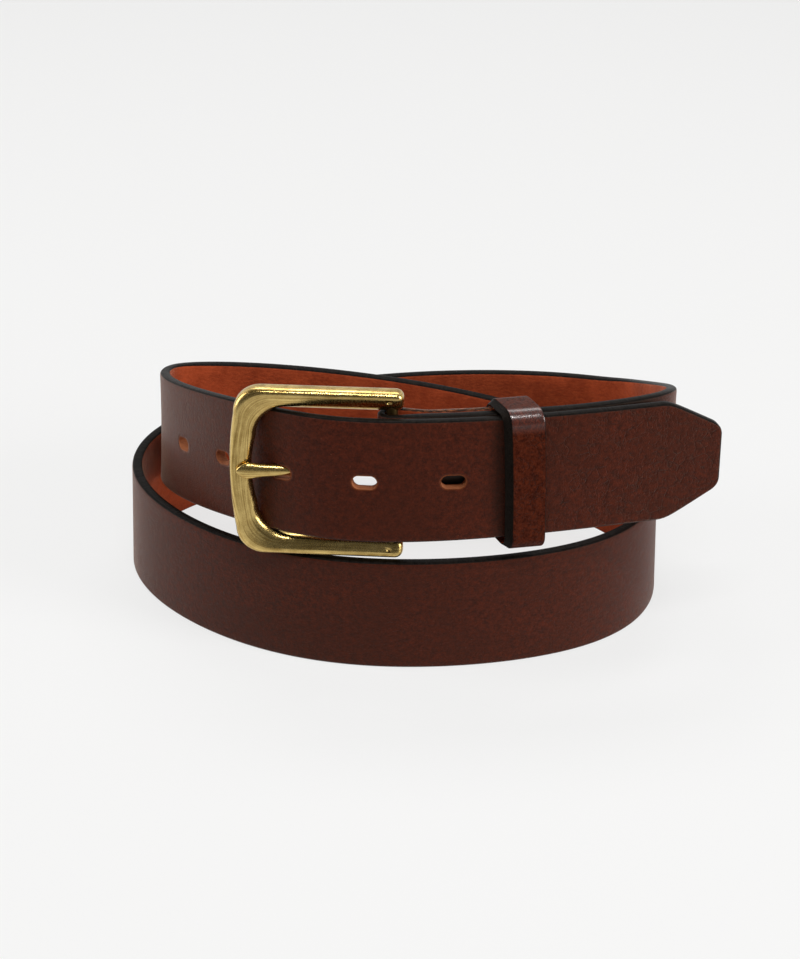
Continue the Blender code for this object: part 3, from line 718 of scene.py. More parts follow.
def parts(tree, vector):
    return add(tree, "ShaderNodeSeparateXYZ", {0: vector}).outputs


def joined(tree, *values):
    return add(tree, "ShaderNodeCombineXYZ", dict(enumerate(values))).outputs[0]


# Geometry Nodes

def position(tree):
    return tree.nodes.new("GeometryNodeInputPosition").outputs[0]


def named_vector(tree, name):
    return add(tree, "GeometryNodeInputNamedAttribute", {"Name": name}, data_type="FLOAT_VECTOR").outputs[0]


def sampled(tree, geometry, name, index):
    """Vector attribute of one point of a geometry; no name reads the position."""
    value = position(tree) if name is None else named_vector(tree, name)
    inputs = {"Geometry": geometry, "Value": value, "Index": index}
    return add(tree, "GeometryNodeSampleIndex", inputs, data_type="FLOAT_VECTOR").outputs["Value"]


def points_of(tree, item):
    """Loose points of an object, and how many they are."""
    geometry = add(tree, "GeometryNodeObjectInfo", {"Object": item}).outputs["Geometry"]
    count = add(tree, "GeometryNodeAttributeDomainSize", {"Geometry": geometry}).outputs["Point Count"]
    return geometry, count


def give_out(tree, shape, finish, out):
    """End of a tree: the shape is made real and gets its material."""
    real = add(tree, "GeometryNodeRealizeInstances", {"Geometry": shape})
    coated = add(tree, "GeometryNodeSetMaterial", {"Geometry": real.outputs[0], "Material": finish})
    feed(tree, out["Geometry"], coated.outputs[0])


def sweep_tree():
    """Tree that carries a section along a path: a grid of path points by section points, set in place."""
    inputs = (("Path", "Object", None), ("Section", "Object", None),
              ("Weld Distance", "Float", WELD_DISTANCE), ("Material", "Material", None))
    tree, given, out = group("Sweep along path", "GeometryNodeTree", inputs, ("Geometry",), "Geometry")
    path, rows = points_of(tree, given["Path"])
    section, columns = points_of(tree, given["Section"])
    closing = whole_of(tree, "ADD", columns, 1)
    grid = add(tree, "GeometryNodeMeshGrid", {"Vertices X": rows, "Vertices Y": closing}).outputs["Mesh"]
    index = tree.nodes.new("GeometryNodeInputIndex").outputs[0]
    row = whole_of(tree, "DIVIDE", index, closing)
    column = whole_of(tree, "MODULO", whole_of(tree, "MODULO", index, closing), columns)
    radius = sampled(tree, path, "radius", row)
    straight = vector_of(tree, "SUBTRACT", sampled(tree, path, "half", row), radius)
    flat = vector_of(tree, "MULTIPLY", sampled(tree, section, None, column), straight)
    corner = vector_of(tree, "MULTIPLY", sampled(tree, section, "corner", column), radius)
    spot = parts(tree, vector_of(tree, "ADD", flat, corner))
    across = scaled(tree, sampled(tree, path, "across", row), spot[0])
    outward = scaled(tree, sampled(tree, path, "outward", row), spot[1])
    offset = vector_of(tree, "ADD", across, outward)
    place = vector_of(tree, "ADD", sampled(tree, path, None, row), offset)
    shape = add(tree, "GeometryNodeSetPosition", {"Geometry": grid, "Position": place}).outputs[0]
    track = parts(tree, sampled(tree, path, "track", row))
    coat = parts(tree, sampled(tree, section, "coat", column))
    edged = value_of(tree, "MAXIMUM", coat[1], track[1])
    for name, first, second in (("place", track[0], spot[0]), ("coat", coat[0], edged)):
        stored = {"Geometry": shape, "Name": name, "Value": joined(tree, first, second)}
        shape = add(tree, "GeometryNodeStoreNamedAttribute", stored, data_type="FLOAT_VECTOR").outputs[0]
    weld = add(tree, "GeometryNodeMergeByDistance", {"Geometry": shape, "Distance": given["Weld Distance"]})
    give_out(tree, weld.outputs[0], given["Material"], out)
    return tree


def punch_tree():
    """Tree that stands an oblong punch on every point of a row, square to the strap."""
    inputs = (("Row", "Object", None), ("Hole Length", "Float", HOLE_LENGTH * MM),
              ("Hole Width", "Float", HOLE_WIDTH * MM), ("Depth", "Float", STRAP_THICKNESS * MM),
              ("Sides", "Int", ROUND_SIDES), ("Material", "Material", None))
    tree, given, out = group("Punch row", "GeometryNodeTree", inputs, ("Geometry",), "Geometry")
    row = add(tree, "GeometryNodeObjectInfo", {"Object": given["Row"]}).outputs["Geometry"]
    radius = times(tree, given["Hole Width"], 0.5)
    sizes = {"Vertices": given["Sides"], "Radius": radius, "Depth": given["Depth"]}
    pin = add(tree, "GeometryNodeMeshCylinder", sizes).outputs["Mesh"]
    side = value_of(tree, "SIGN", parts(tree, position(tree))[0])
    spare = less(tree, given["Hole Length"], given["Hole Width"])
    offset = joined(tree, times(tree, side, times(tree, spare, 0.5)))
    punch = add(tree, "GeometryNodeSetPosition", {"Geometry": pin, "Offset": offset}).outputs[0]
    axes = {0: named_vector(tree, "outward"), 1: named_vector(tree, "along")}
    turn = add(tree, "FunctionNodeAxesToRotation", axes, primary_axis="Z", secondary_axis="X").outputs[0]
    stand = add(tree, "GeometryNodeInstanceOnPoints", {"Points": row, "Instance": punch, "Rotation": turn})
    give_out(tree, stand.outputs[0], given["Material"], out)
    return tree


def grown(name, tree, values):
    """Object with the plain mesh that a tree makes from named input values."""
    item = link_object(name, bpy.data.meshes.new(name))
    step = item.modifiers.new(tree.name, "NODES")
    step.node_group = tree
    for entry in tree.interface.items_tree:
        if entry.in_out == "INPUT" and entry.name in values:
            step[entry.identifier] = values[entry.name]
    mesh = made_mesh(item)
    if mesh.materials[0] is None:
        mesh.materials.pop(index=0)
    item.modifiers.clear()
    item.data = mesh
    return item


def point_object(name, points, vectors):
    """Loose points that carry named vectors."""
    mesh = bpy.data.meshes.new(name)
    mesh.from_pydata(points, [], [])
    for key, values in vectors.items():
        layer = mesh.attributes.new(key, "FLOAT_VECTOR", "POINT")
        layer.data.foreach_set("vector", np.array(values, np.float32).ravel())
    return link_object(name, mesh)


SWEEP = sweep_tree()
PUNCH = punch_tree()


class Station:
    """One place on a path: its middle, cross directions, half sizes and corner radius in millimetres."""

    def __init__(self, middle, across, outward, half_width, half_thick, radius=0.0, along=0.0, end=0.0):
        self.middle = to_frame(middle)
        self.across = tuple(across)
        self.outward = tuple(outward)
        self.half = (half_width * MM, half_thick * MM, 0.0)
        self.radius = (radius * MM, radius * MM, 0.0)
        self.track = (along * MM, end, 0.0)

    def closed(self):
        """The same place shrunk to a point, which closes the end of a sweep."""
        shut = Station.__new__(Station)
        shut.middle, shut.across, shut.outward = self.middle, self.across, self.outward
        shut.half = shut.radius = (0.0, 0.0, 0.0)
        shut.track = self.track
        return shut


def sweep(name, stations, section, finish):
    """Closed sweep with two UV maps: place along and across, and side with edge."""
    rows = [stations[0].closed(), *stations, stations[-1].closed()]
    keys = ("across", "outward", "half", "radius", "track")
    vectors = {key: [getattr(row, key) for row in rows] for key in keys}
    path = point_object("path", [row.middle for row in rows], vectors)
    flat, corner, coat = ([(*row[k:k + 2], 0.0) for row in section] for k in (0, 2, 4))
    profile = point_object("section", flat, {"corner": corner, "coat": coat})
    values = {"Path": path, "Section": profile, "Weld Distance": WELD_DISTANCE, "Material": finish}
    item = grown(name, SWEEP, values)
    for used in (path, profile):
        bpy.data.objects.remove(used, do_unlink=True)
    face_outward(item)
    for key in ("place", "coat"):
        keep_as_map(item.data, key)
    return item


def keep_as_map(mesh, key):
    """Turn a point attribute into a UV map of the same name, which survives later cuts."""
    values = np.zeros(len(mesh.vertices) * 3, np.float32)
    mesh.attributes[key].data.foreach_get("vector", values)
    corners = np.zeros(len(mesh.loops), np.int32)
    mesh.loops.foreach_get("vertex_index", corners)
    mesh.attributes.remove(mesh.attributes[key])
    layer = mesh.uv_layers.new(name=key)
    layer.uv.foreach_set("vector", values.reshape(-1, 3)[corners, :2].ravel())


def strap_profile(grain_spans, flesh_spans, corner_spans, bevel=0.0):
    """Section of flat leather with rounded edges, one of them bevelled.

    A row holds a place across and outward, its share of the corner radius both ways, and its side and edge.
    """
    rows = []
    low = -1.0 - bevel
    for k in range(grain_spans + 1):
        rows.append((1.0 - 2.0 * k / grain_spans, 1.0, 0.0, 1.0, 1.0, 0.0))
    for k in range(1, 2 * corner_spans):
        angle = math.radians(90.0 + 90.0 * k / corner_spans)
        side = (k < corner_spans) - (k > corner_spans)
        slope = (-1.0 + low + side * bevel) / 2.0
        rows.append((slope, side, math.cos(angle), math.sin(angle), math.sin(angle), -math.cos(angle)))
    for k in range(flesh_spans + 1):
        rows.append((low + (1.0 - low) * k / flesh_spans, -1.0, 0.0, -1.0, -1.0, 0.0))
    for k in range(1, 2 * corner_spans):
        angle = math.radians(-90.0 + 90.0 * k / corner_spans)
        side = (k > corner_spans) - (k < corner_spans)
        rows.append((1.0, side, math.cos(angle), math.sin(angle), math.sin(angle), math.cos(angle)))
    return rows


def smooth_ring(corners, spans):
    """Closed smooth curve through corner points."""
    ring = np.array(corners)
    count = len(ring)
    points = []
    for i in range(count):
        before, start, end, after = (ring[(i + k) % count] for k in (-1, 0, 1, 2))
        for step in range(spans):
            t = step / spans
            points.append(0.5 * (2.0 * start + (end - before) * t
                                 + (2.0 * before - 5.0 * start + 4.0 * end - after) * t ** 2
                                 + (3.0 * start - before - 3.0 * end + after) * t ** 3))
    return points


# Shader tools

def band(tree, value, low, high, start=0.0, end=1.0):
    """Smooth rise from start to end as a value goes from low to high."""
    inputs = {0: value, 1: low, 2: high, 3: start, 4: end}
    return add(tree, "ShaderNodeMapRange", inputs, interpolation_type="SMOOTHSTEP").outputs[0]


def stretch(tree, value, fade_in, fade_out):
    """Mask of a stretch that fades in over one range and out over another."""
    return times(tree, band(tree, value, *fade_in), band(tree, value, *fade_out))


def mixed_colour(tree, share, a, b):
    """Mix of two colours, which the Mix node takes on its sockets 6 and 7."""
    first, second = ((*value, 1.0) if isinstance(value, tuple) else value for value in (a, b))
    return add(tree, "ShaderNodeMix", {0: share, 6: first, 7: second}, data_type="RGBA").outputs[2]


def mixed_value(tree, share, a, b):
    return add(tree, "ShaderNodeMix", {0: share, 2: a, 3: b}, data_type="FLOAT").outputs[0]


def glazed(tree, colour, layers):
    """Colour with others laid over it, each by a mask and its own share and colour."""
    for mask, (share, over) in layers:
        colour = mixed_colour(tree, times(tree, mask, share), colour, over)
    return colour


def noise(tree, place, scale, detail, roughness=0.55):
    inputs = {"Vector": place, "Scale": scale, "Detail": detail, "Roughness": roughness}
    return add(tree, "ShaderNodeTexNoise", inputs).outputs[0]


def cells(tree, place, scale, feature):
    inputs = {"Vector": place, "Scale": scale}
    return add(tree, "ShaderNodeTexVoronoi", inputs, feature=feature).outputs["Distance"]


def drawn_out(tree, place, scale):
    """Place scaled by its own amount on each axis, which draws a pattern out."""
    return add(tree, "ShaderNodeMapping", {"Vector": place, "Scale": scale}).outputs[0]


def shader_group(name, inputs, outputs):
    return group(name, "ShaderNodeTree", inputs, outputs, "Float")


def use(tree, made, inputs):
    return add(tree, "ShaderNodeGroup", inputs, node_tree=made).outputs


def leather_skin():
    """Grain of smooth leather in millimetres: pebbles, creases, mottling, slow drift and pale flecks."""
    inputs = (("Place", "Vector", None), ("Pebble Size", "Float", 0.55), ("Crease Size", "Float", 3.0),
              ("Crease Depth", "Float", 0.4), ("Wrinkle Depth", "Float", 0.0))
    tree, given, out = shader_group("Leather skin", inputs, ("Height", "Mottle", "Drift", "Fleck", "Crease"))
    place = given["Place"]
    warp = add(tree, "ShaderNodeTexNoise", {"Vector": place, "Scale": 0.9, "Detail": 2.0}).outputs["Color"]
    centred = vector_of(tree, "SUBTRACT", warp, (0.5, 0.5, 0.5))
    bent = vector_of(tree, "ADD", place, scaled(tree, centred, CELL_WARP))
    pebbles = cells(tree, bent, one_over(tree, given["Pebble Size"]), "DISTANCE_TO_EDGE")
    pebble = band(tree, pebbles, 0.0, 0.32)
    creases = cells(tree, bent, one_over(tree, given["Crease Size"]), "DISTANCE_TO_EDGE")
    broken = band(tree, noise(tree, place, scale=0.35, detail=2.0), 0.4, 0.62)
    crease = times(tree, band(tree, creases, *CREASE_BAND), broken)
    hide = noise(tree, place, scale=1.6, detail=4.0, roughness=0.6)
    raised = value_of(tree, "ADD", times(tree, pebble, PEBBLE_HEIGHT), times(tree, hide, HIDE_HEIGHT))
    cut = times(tree, crease, given["Crease Depth"])
    drawn = drawn_out(tree, bent, (0.42, 0.15, 1.0))
    ripple = noise(tree, drawn, scale=1.0, detail=3.0, roughness=0.6)
    fold = value_of(tree, "ABSOLUTE", less(tree, ripple, 0.5))
    patches = band(tree, noise(tree, place, scale=0.16, detail=2.0), 0.36, 0.6)
    patchy = times(tree, given["Wrinkle Depth"], patches)
    wrinkle = times(tree, band(tree, fold, *CREASE_BAND), patchy)
    feed(tree, out["Height"], less(tree, raised, value_of(tree, "ADD", cut, wrinkle)))
    feed(tree, out["Crease"], value_of(tree, "MULTIPLY", crease, given["Crease Depth"], clamp=True))
    fine = noise(tree, place, scale=1.4, detail=5.0, roughness=0.7)
    coarse = noise(tree, place, scale=0.5, detail=4.0, roughness=0.65)
    feed(tree, out["Mottle"], band(tree, mixed_value(tree, COARSE_SHARE, fine, coarse), 0.36, 0.66))
    slow = noise(tree, place, scale=0.05, detail=3.0, roughness=0.5)
    feed(tree, out["Drift"], band(tree, slow, 0.3, 0.7))
    feed(tree, out["Fleck"], band(tree, cells(tree, bent, FLECK_SCALE, "F1"), 0.055, 0.03))
    return tree


def hole_rims():
    """Distance from the rim of the nearest hole, by place along and across the strap in millimetres."""
    inputs = (("Along", "Float", 0.0), ("Across", "Float", 0.0), ("Middle Hole", "Float", 0.0),
              ("Pitch", "Float", HOLE_PITCH), ("Hole Length", "Float", HOLE_LENGTH),
              ("Hole Width", "Float", HOLE_WIDTH))
    tree, given, out = shader_group("Hole rims", inputs, ("Distance",))
    from_middle = less(tree, given["Along"], given["Middle Hole"])
    count = value_of(tree, "ROUND", value_of(tree, "DIVIDE", from_middle, given["Pitch"]))
    held = add(tree, "ShaderNodeClamp", {0: count, 1: -HOLES_EACH_SIDE, 2: HOLES_EACH_SIDE}).outputs[0]
    local = less(tree, from_middle, times(tree, held, given["Pitch"]))
    straight = times(tree, less(tree, given["Hole Length"], given["Hole Width"]), 0.5)
    beyond = value_of(tree, "MAXIMUM", less(tree, value_of(tree, "ABSOLUTE", local), straight), 0.0)
    offset = joined(tree, beyond, given["Across"])
    length = add(tree, "ShaderNodeVectorMath", {0: offset}, operation="LENGTH").outputs["Value"]
    feed(tree, out["Distance"], less(tree, length, times(tree, given["Hole Width"], 0.5)))
    return tree


def fibres():
    """Nap of the flesh side in millimetres."""
    inputs = (("Place", "Vector", None), ("Fibre Size", "Float", 0.8))
    tree, given, out = shader_group("Flesh fibres", inputs, ("Height", "Tone"))
    stretched = drawn_out(tree, given["Place"], (0.45, 1.0, 1.0))
    nap = noise(tree, stretched, one_over(tree, given["Fibre Size"]), detail=6.0, roughness=0.72)
    cloud = noise(tree, given["Place"], scale=0.12, detail=4.0, roughness=0.6)
    feed(tree, out["Height"], nap)
    feed(tree, out["Tone"], band(tree, mixed_value(tree, CLOUD_SHARE, nap, cloud), 0.3, 0.68))
    return tree


def patina():
    """Uneven tone, brushed lines and fine tumbling marks of aged metal; place and track in metres."""
    inputs = (("Place", "Vector", None), ("Track", "Vector", None), ("Mark Size", "Float", 0.4))
    tree, given, out = shader_group("Metal patina", inputs, ("Tone", "Marks", "Streak", "Height"))
    place = scaled(tree, given["Place"], METRE)
    tone = noise(tree, place, scale=0.3, detail=4.0, roughness=0.6)
    marks = noise(tree, place, one_over(tree, given["Mark Size"]), detail=4.0, roughness=0.7)
    drawn = drawn_out(tree, given["Track"], (45.0, 1900.0, 1.0))
    streak = noise(tree, drawn, scale=1.0, detail=4.0, roughness=0.62)
    feed(tree, out["Tone"], band(tree, tone, 0.34, 0.68))
    feed(tree, out["Marks"], band(tree, marks, 0.35, 0.7))
    feed(tree, out["Streak"], band(tree, streak, 0.34, 0.66))
    feed(tree, out["Height"], value_of(tree, "ADD", marks, times(tree, streak, STREAK_HEIGHT)))
    return tree


SKIN = leather_skin()
RIMS = hole_rims()
FIBRES = fibres()
PATINA = patina()


# Finishes

def material(name, **plain):
    """New material: its tree, its shader and the plain values set on the shader."""
    made = bpy.data.materials.new(name)
    made.use_nodes = True
    tree = made.node_tree
    shader = tree.nodes["Principled BSDF"]
    for key, value in plain.items():
        shader.inputs[key.replace("_", " ")].default_value = value
    return made, tree, shader


def bumped(tree, shader, height, distance):
    bump = add(tree, "ShaderNodeBump", {"Height": height, "Distance": distance, "Strength": 1.0})
    feed(tree, shader.inputs["Normal"], bump.outputs[0])


def map_parts(tree, name):
    """Both parts of a UV map."""
    return parts(tree, add(tree, "ShaderNodeUVMap", uv_map=name).outputs[0])[:2]


def on_sheet(tree):
    """Place along and across a sheet of leather in millimetres."""
    return [times(tree, part, METRE) for part in map_parts(tree, "place")]


def on_object(tree):
    """Place on the object in millimetres."""
    return scaled(tree, tree.nodes.new("ShaderNodeTexCoord").outputs["Object"], METRE)


def laid_leather(tree, shader, grain, flesh, edge, masks, roughness):
    """Lay the colours and roughness of a sheet by the masks of its flesh side and its edges."""
    flesh_side, on_edge = masks
    face = mixed_colour(tree, flesh_side, grain, flesh)
    feed(tree, shader.inputs["Base Color"], mixed_colour(tree, on_edge, face, edge))
    rough = mixed_value(tree, flesh_side, roughness, FLESH_ROUGHNESS)
    feed(tree, shader.inputs["Roughness"], mixed_value(tree, on_edge, rough, EDGE_ROUGHNESS))


def strap_leather():
    """Finished grain side, painted edges and bare flesh side of the strap, with painted shade behind the
    free end and a painted shadow beside the keeper.
    """
    made, tree, shader = material("strap_leather", Specular_IOR_Level=0.17, Specular_Tint=GLOSS_TINT,
                                  Sheen_Weight=0.38, Sheen_Roughness=0.28, Sheen_Tint=SHEEN_TINT)
    along, across = on_sheet(tree)
    side, edge = map_parts(tree, "coat")
    spot = joined(tree, along, across, times(tree, side, SIDES_APART))
    to_tip = band(tree, along, buckle.tip_end - CREASED_TIP, buckle.tip_end - FULLY_CREASED_TIP)
    skin = use(tree, SKIN, {"Place": spot, "Crease Depth": mixed_value(tree, to_tip, *TIP_CREASES),
                            "Wrinkle Depth": mixed_value(tree, to_tip, *TIP_WRINKLES)})
    rim = use(tree, RIMS, {"Along": along, "Across": across, "Middle Hole": buckle.hole_at})["Distance"]
    keeper_at = buckle.tip_at_bar + KEEPER_FROM_BAR - KEEPER_WIDTH / 2.0
    # Painted shade on the buckle end where the free end lies over it
    lap_shade = stretch(tree, along, LAP_SHADE_FROM, LAP_SHADE_TO)
    # Painted shadow of the keeper on the strap, darkest at its left edge
    keeper_shadow = stretch(tree, along, (keeper_at - KEEPER_SHADOW_BEFORE, keeper_at), (keeper_at + KEEPER_SHADOW_AFTER, keeper_at))
    worn = band(tree, rim, WORN_WIDTH, 0.0)
    layers = ((skin["Drift"], DRIFT), (lap_shade, LAP_SHADE), (skin["Fleck"], FLECKS), (skin["Crease"], CREASES),
              (keeper_shadow, KEEPER_SHADOW), (worn, WEAR))
    grain = glazed(tree, mixed_colour(tree, skin["Mottle"], *GRAIN_TONES), layers)
    nap = use(tree, FIBRES, {"Place": spot})
    flesh = mixed_colour(tree, nap["Tone"], *FLESH_TONES)
    raw = mixed_colour(tree, band(tree, nap["Height"], *RAW_BAND), *RAW_EDGE_TONES)
    paint = mixed_colour(tree, skin["Mottle"], *PAINT_TONES)
    painted = band(tree, along, PAINT_START - PAINT_FADE, PAINT_START)
    flesh_side = band(tree, side, *FLESH_BAND)
    on_edge = band(tree, edge, *STRAP_EDGE_BAND)
    smooth = mixed_value(tree, skin["Mottle"], *STRAP_ROUGHNESS)
    edges = mixed_colour(tree, painted, raw, paint)
    laid_leather(tree, shader, grain, flesh, edges, (flesh_side, on_edge), smooth)
    dip = times(tree, band(tree, rim, RIM_DIP_WIDTH, 0.0), RIM_DIP)
    height = less(tree, skin["Height"], dip)
    height = mixed_value(tree, flesh_side, height, times(tree, nap["Height"], NAP_HEIGHT))
    bumped(tree, shader, height, distance=0.00012)
    return made


def edge_paint():
    """Dark paint of the strap's edges."""
    made, tree, shader = material("edge_paint", Roughness=0.4, Specular_IOR_Level=0.045)
    skin = use(tree, SKIN, {"Place": joined(tree, *on_sheet(tree))})
    feed(tree, shader.inputs["Base Color"], mixed_colour(tree, skin["Mottle"], *EDGE_TONES))
    bumped(tree, shader, skin["Height"], distance=0.0001)
    return made


def cut_leather():
    """Bare cut leather of the hole walls."""
    made, tree, shader = material("cut_leather", Roughness=0.8)
    nap = use(tree, FIBRES, {"Place": on_object(tree), "Fibre Size": 0.5})
    feed(tree, shader.inputs["Base Color"], mixed_colour(tree, nap["Tone"], *CUT_TONES))
    bumped(tree, shader, nap["Height"], distance=0.0002)
    return made


def pressed_leather():
    """Grain of the strap where the prong bears on it."""
    made, tree, shader = material("pressed_leather", Roughness=0.6, Specular_IOR_Level=0.16)
    skin = use(tree, SKIN, {"Place": on_object(tree)})
    feed(tree, shader.inputs["Base Color"], mixed_colour(tree, skin["Mottle"], *PRESSED_TONES))
    return made


def keeper_leather():
    """Redder, thinner leather of the keeper, finely crackled, with dark edges and a polished upper roll."""
    made, tree, shader = material("keeper_leather", Specular_IOR_Level=0.06, Specular_Tint=GLOSS_TINT,
                                  Coat_Roughness=0.26, Coat_IOR=1.8, Coat_Tint=POLISH_TINT)
    along, across = on_sheet(tree)
    side, edge = map_parts(tree, "coat")
    spot = joined(tree, along, across, times(tree, side, SIDES_APART))
    skin = use(tree, SKIN, {"Place": spot, "Pebble Size": 0.6, "Crease Size": 1.7, "Crease Depth": 0.9})
    tones = mixed_colour(tree, skin["Mottle"], *KEEPER_TONES)
    grain = glazed(tree, tones, ((skin["Crease"], KEEPER_CREASES),))
    nap = use(tree, FIBRES, {"Place": spot})
    flesh = mixed_colour(tree, nap["Tone"], *FLESH_TONES)
    paint = mixed_colour(tree, skin["Mottle"], *PAINT_TONES)
    flesh_side = band(tree, side, *FLESH_BAND)
    on_edge = band(tree, edge, *KEEPER_EDGE_BAND)
    smooth = mixed_value(tree, skin["Mottle"], *KEEPER_ROUGHNESS)
    laid_leather(tree, shader, grain, flesh, paint, (flesh_side, on_edge), smooth)
    polished = times(tree, band(tree, side, *POLISH_BAND), less(tree, 1.0, on_edge))
    rolled = stretch(tree, along, ROLL_FROM, ROLL_TO)
    feed(tree, shader.inputs["Coat Weight"], times(tree, polished, rolled))
    bumped(tree, shader, mixed_value(tree, flesh_side, skin["Height"], nap["Height"]), distance=0.00016)
    return made


def aged_metal(name, tones, roughness):
    """Tumbled metal with an uneven patina and brushed lines along its length."""
    made, tree, shader = material(name, Metallic=1.0)
    spot = tree.nodes.new("ShaderNodeTexCoord").outputs["Object"]
    track = add(tree, "ShaderNodeUVMap", uv_map="place").outputs[0]
    skin = use(tree, PATINA, {"Place": spot, "Track": track, "Mark Size": MARK_SIZE})
    tone = mixed_value(tree, STREAK_SHARE, skin["Tone"], skin["Streak"])
    feed(tree, shader.inputs["Base Color"], mixed_colour(tree, tone, *tones))
    smoother, rougher = roughness - SMOOTHER, roughness + ROUGHER
    feed(tree, shader.inputs["Roughness"], mixed_value(tree, skin["Marks"], smoother, rougher))
    bumped(tree, shader, skin["Height"], distance=0.00002)
    return made


STRAP_LEATHER = strap_leather()
EDGE_PAINT = edge_paint()
CUT_LEATHER = cut_leather()
PRESSED_LEATHER = pressed_leather()
KEEPER_LEATHER = keeper_leather()
BRASS = aged_metal("antique_brass", BRASS_TONES, roughness=0.24)
SHADED_BRASS = aged_metal("shaded_brass", SHADED_BRASS_TONES, roughness=0.4)
STEEL = aged_metal("fastener_steel", STEEL_TONES, roughness=0.42)


# Strap

def fold_stations():
    """Folded-back end and the wrap round the heel bar, up to the front of the bar."""
    half = FOLD_THICKNESS / 2.0
    radius = min(EDGE_RADIUS, half - EDGE_FLAT / 2.0)
    middle = BAR_DIAMETER / 2.0 + BAR_GAP + half
    wrapped = math.pi * middle
    rounded = TONGUE_END_WIDTH / 2.0
    stops = [FOLD_LENGTH - rounded * share for share in np.linspace(0.0, 1.0, TONGUE_STOPS) ** 2]
    stops += list(np.arange(stops[-1] - RUN_STEP, 1.0, -RUN_STEP))
    stations = []
    for distance in stops:
        point, _, normal, width = route.at(distance)
        width = width_near_bar(buckle, width, distance)
        back = STRAP_THICKNESS / 2.0 - fold_offset(distance) + half
        wide = tongue_half_width(FOLD_LENGTH - distance)
        end = 1.0 - ease((FOLD_LENGTH - distance) / TONGUE_EDGE)
        centre = point + normal * back
        stations.append(Station(centre, width, -normal, wide, half, radius, -distance - wrapped, end))
    _, along, normal, _ = route.at(0.0)
    for turn in range(180, -1, -WRAP_STEP):
        angle = math.radians(turn)
        out = normal * math.cos(angle) - along * math.sin(angle)
        centre = buckle.origin + out * middle
        stations.append(Station(centre, buckle.rise, out, STRAP_WIDTH / 2.0, half, radius, -middle * angle))
    return stations


def run_stations(splits):
    """The strap from the heel bar round both turns to the free end, with a station at every split."""
    end = buckle.tip_end
    near_end = np.array(TIP_STOPS)
    stops = []
    edges = [RUN_STEP / 2.0, *splits, end - near_end[-1]]
    for low, high in zip(edges[:-1], edges[1:]):
        count = max(1, round((high - low) / RUN_STEP))
        stops += list(np.linspace(low, high, count + 1)[:-1])
    stops += list(end - near_end[::-1])
    stations = []
    for distance in stops:
        point, _, normal, width = route.at(distance)
        width = width_near_bar(buckle, width, distance)
        thick = base_thickness(distance)
        centre = point + normal * (STRAP_THICKNESS - thick) / 2.0
        to_end = end - distance
        wide = tip_half_width(to_end)
        half = thick / 2.0
        short = max(0.0, 1.0 - to_end / EDGE_RADIUS)
        half -= EDGE_RADIUS * (1.0 - math.sqrt(1.0 - short * short))
        radius = min(EDGE_RADIUS, half - EDGE_FLAT / 2.0)
        edge = 1.0 - ease(to_end / TIP_EDGE)
        stations.append(Station(centre, width, normal, wide, half, radius, distance, edge))
    return stations


def hole_punches():
    """Punches for the row of holes, just deep enough to leave the layer behind uncut."""
    places, outward, along = [], [], []
    for step in range(-HOLES_EACH_SIDE, HOLES_EACH_SIDE + 1):
        point, ahead, normal, _ = route.at(buckle.hole_at + step * HOLE_PITCH)
        places.append(to_frame(point))
        outward.append(normal)
        along.append(ahead)
    row = point_object("hole_row", places, {"outward": outward, "along": along})
    values = {"Row": row, "Hole Length": HOLE_LENGTH * MM, "Hole Width": HOLE_WIDTH * MM,
              "Depth": (STRAP_THICKNESS + LAP_GAP) * MM, "Sides": ROUND_SIDES, "Material": CUT_LEATHER}
    punches = grown("punches", PUNCH, values)
    bpy.data.objects.remove(row, do_unlink=True)
    return punches


def ring_slot_cutter():
    """Box that opens the fold for the prong's ring."""
    ring = BAR_DIAMETER / 2.0 + BAR_GAP + FOLD_THICKNESS
    wide = PRONG_RING_WIDTH / 2.0 + PRONG_GAP * 2.0
    inner, outer = -2.0 * ring, ring + LAP_GAP / 2.0
    corners = ((-wide, inner), (wide, inner), (wide, outer), (-wide, outer))
    ends = [[buckle.place(reach, *corner) for corner in corners] for reach in (-SLOT_LENGTH, 2.0 * ring)]
    return loft("slot", ends)


def post_cutter(distance):
    point, _, normal, width = route.at(distance)
    face = point + normal * STRAP_THICKNESS / 2.0
    head = POST_HEAD_DIAMETER / 2.0 + POST_GAP
    body = POST_DIAMETER / 2.0 + POST_GAP
    floor = POST_HEAD_HEIGHT + 2.0 * POST_GAP
    through = fold_offset(distance) + POST_GAP
    profile = ((-LAP_GAP / 2.0, head), (floor, head), (floor, body), (through, body))
    return turned("post_hole", face, -normal, width, profile)


def dressed(item, finish):
    item.data.materials.clear()
    item.data.materials.append(finish)
    return item


def whole_strap(splits):
    stations = fold_stations() + run_stations(splits)
    section = strap_profile(grain_spans=18, flesh_spans=12, corner_spans=5)
    strap = sweep("strap_whole", stations, section, STRAP_LEATHER)
    combine(strap, hole_punches(), "DIFFERENCE")
    combine(strap, dressed(prong_shank("groove", PRONG_GAP), PRESSED_LEATHER), "DIFFERENCE")
    for cutter in [ring_slot_cutter()] + [post_cutter(distance) for distance in POSTS_FROM_BAR]:
        combine(strap, dressed(cutter, CUT_LEATHER), "DIFFERENCE")
    shade(strap, smooth_angle=50.0)
    return strap


def mark_lengths(mesh):
    """Store every face's length along the strap; a cut wall takes that of the nearest part of its middle."""
    stops = np.arange(0.0, buckle.tip_end, LENGTH_STEP)
    line = np.array([to_frame(route.at(stop)[0]) for stop in stops])
    place = mesh.uv_layers["place"].uv
    layer = mesh.attributes.new("length", "FLOAT", "FACE")
    for face in mesh.polygons:
        if face.material_index == 0:
            length = np.mean([place[corner].vector.x for corner in face.loop_indices]) / MM
        else:
            gaps = np.linalg.norm(line - np.array(face.center), axis=1)
            length = stops[int(np.argmin(gaps))]
        layer.data[face.index].value = length


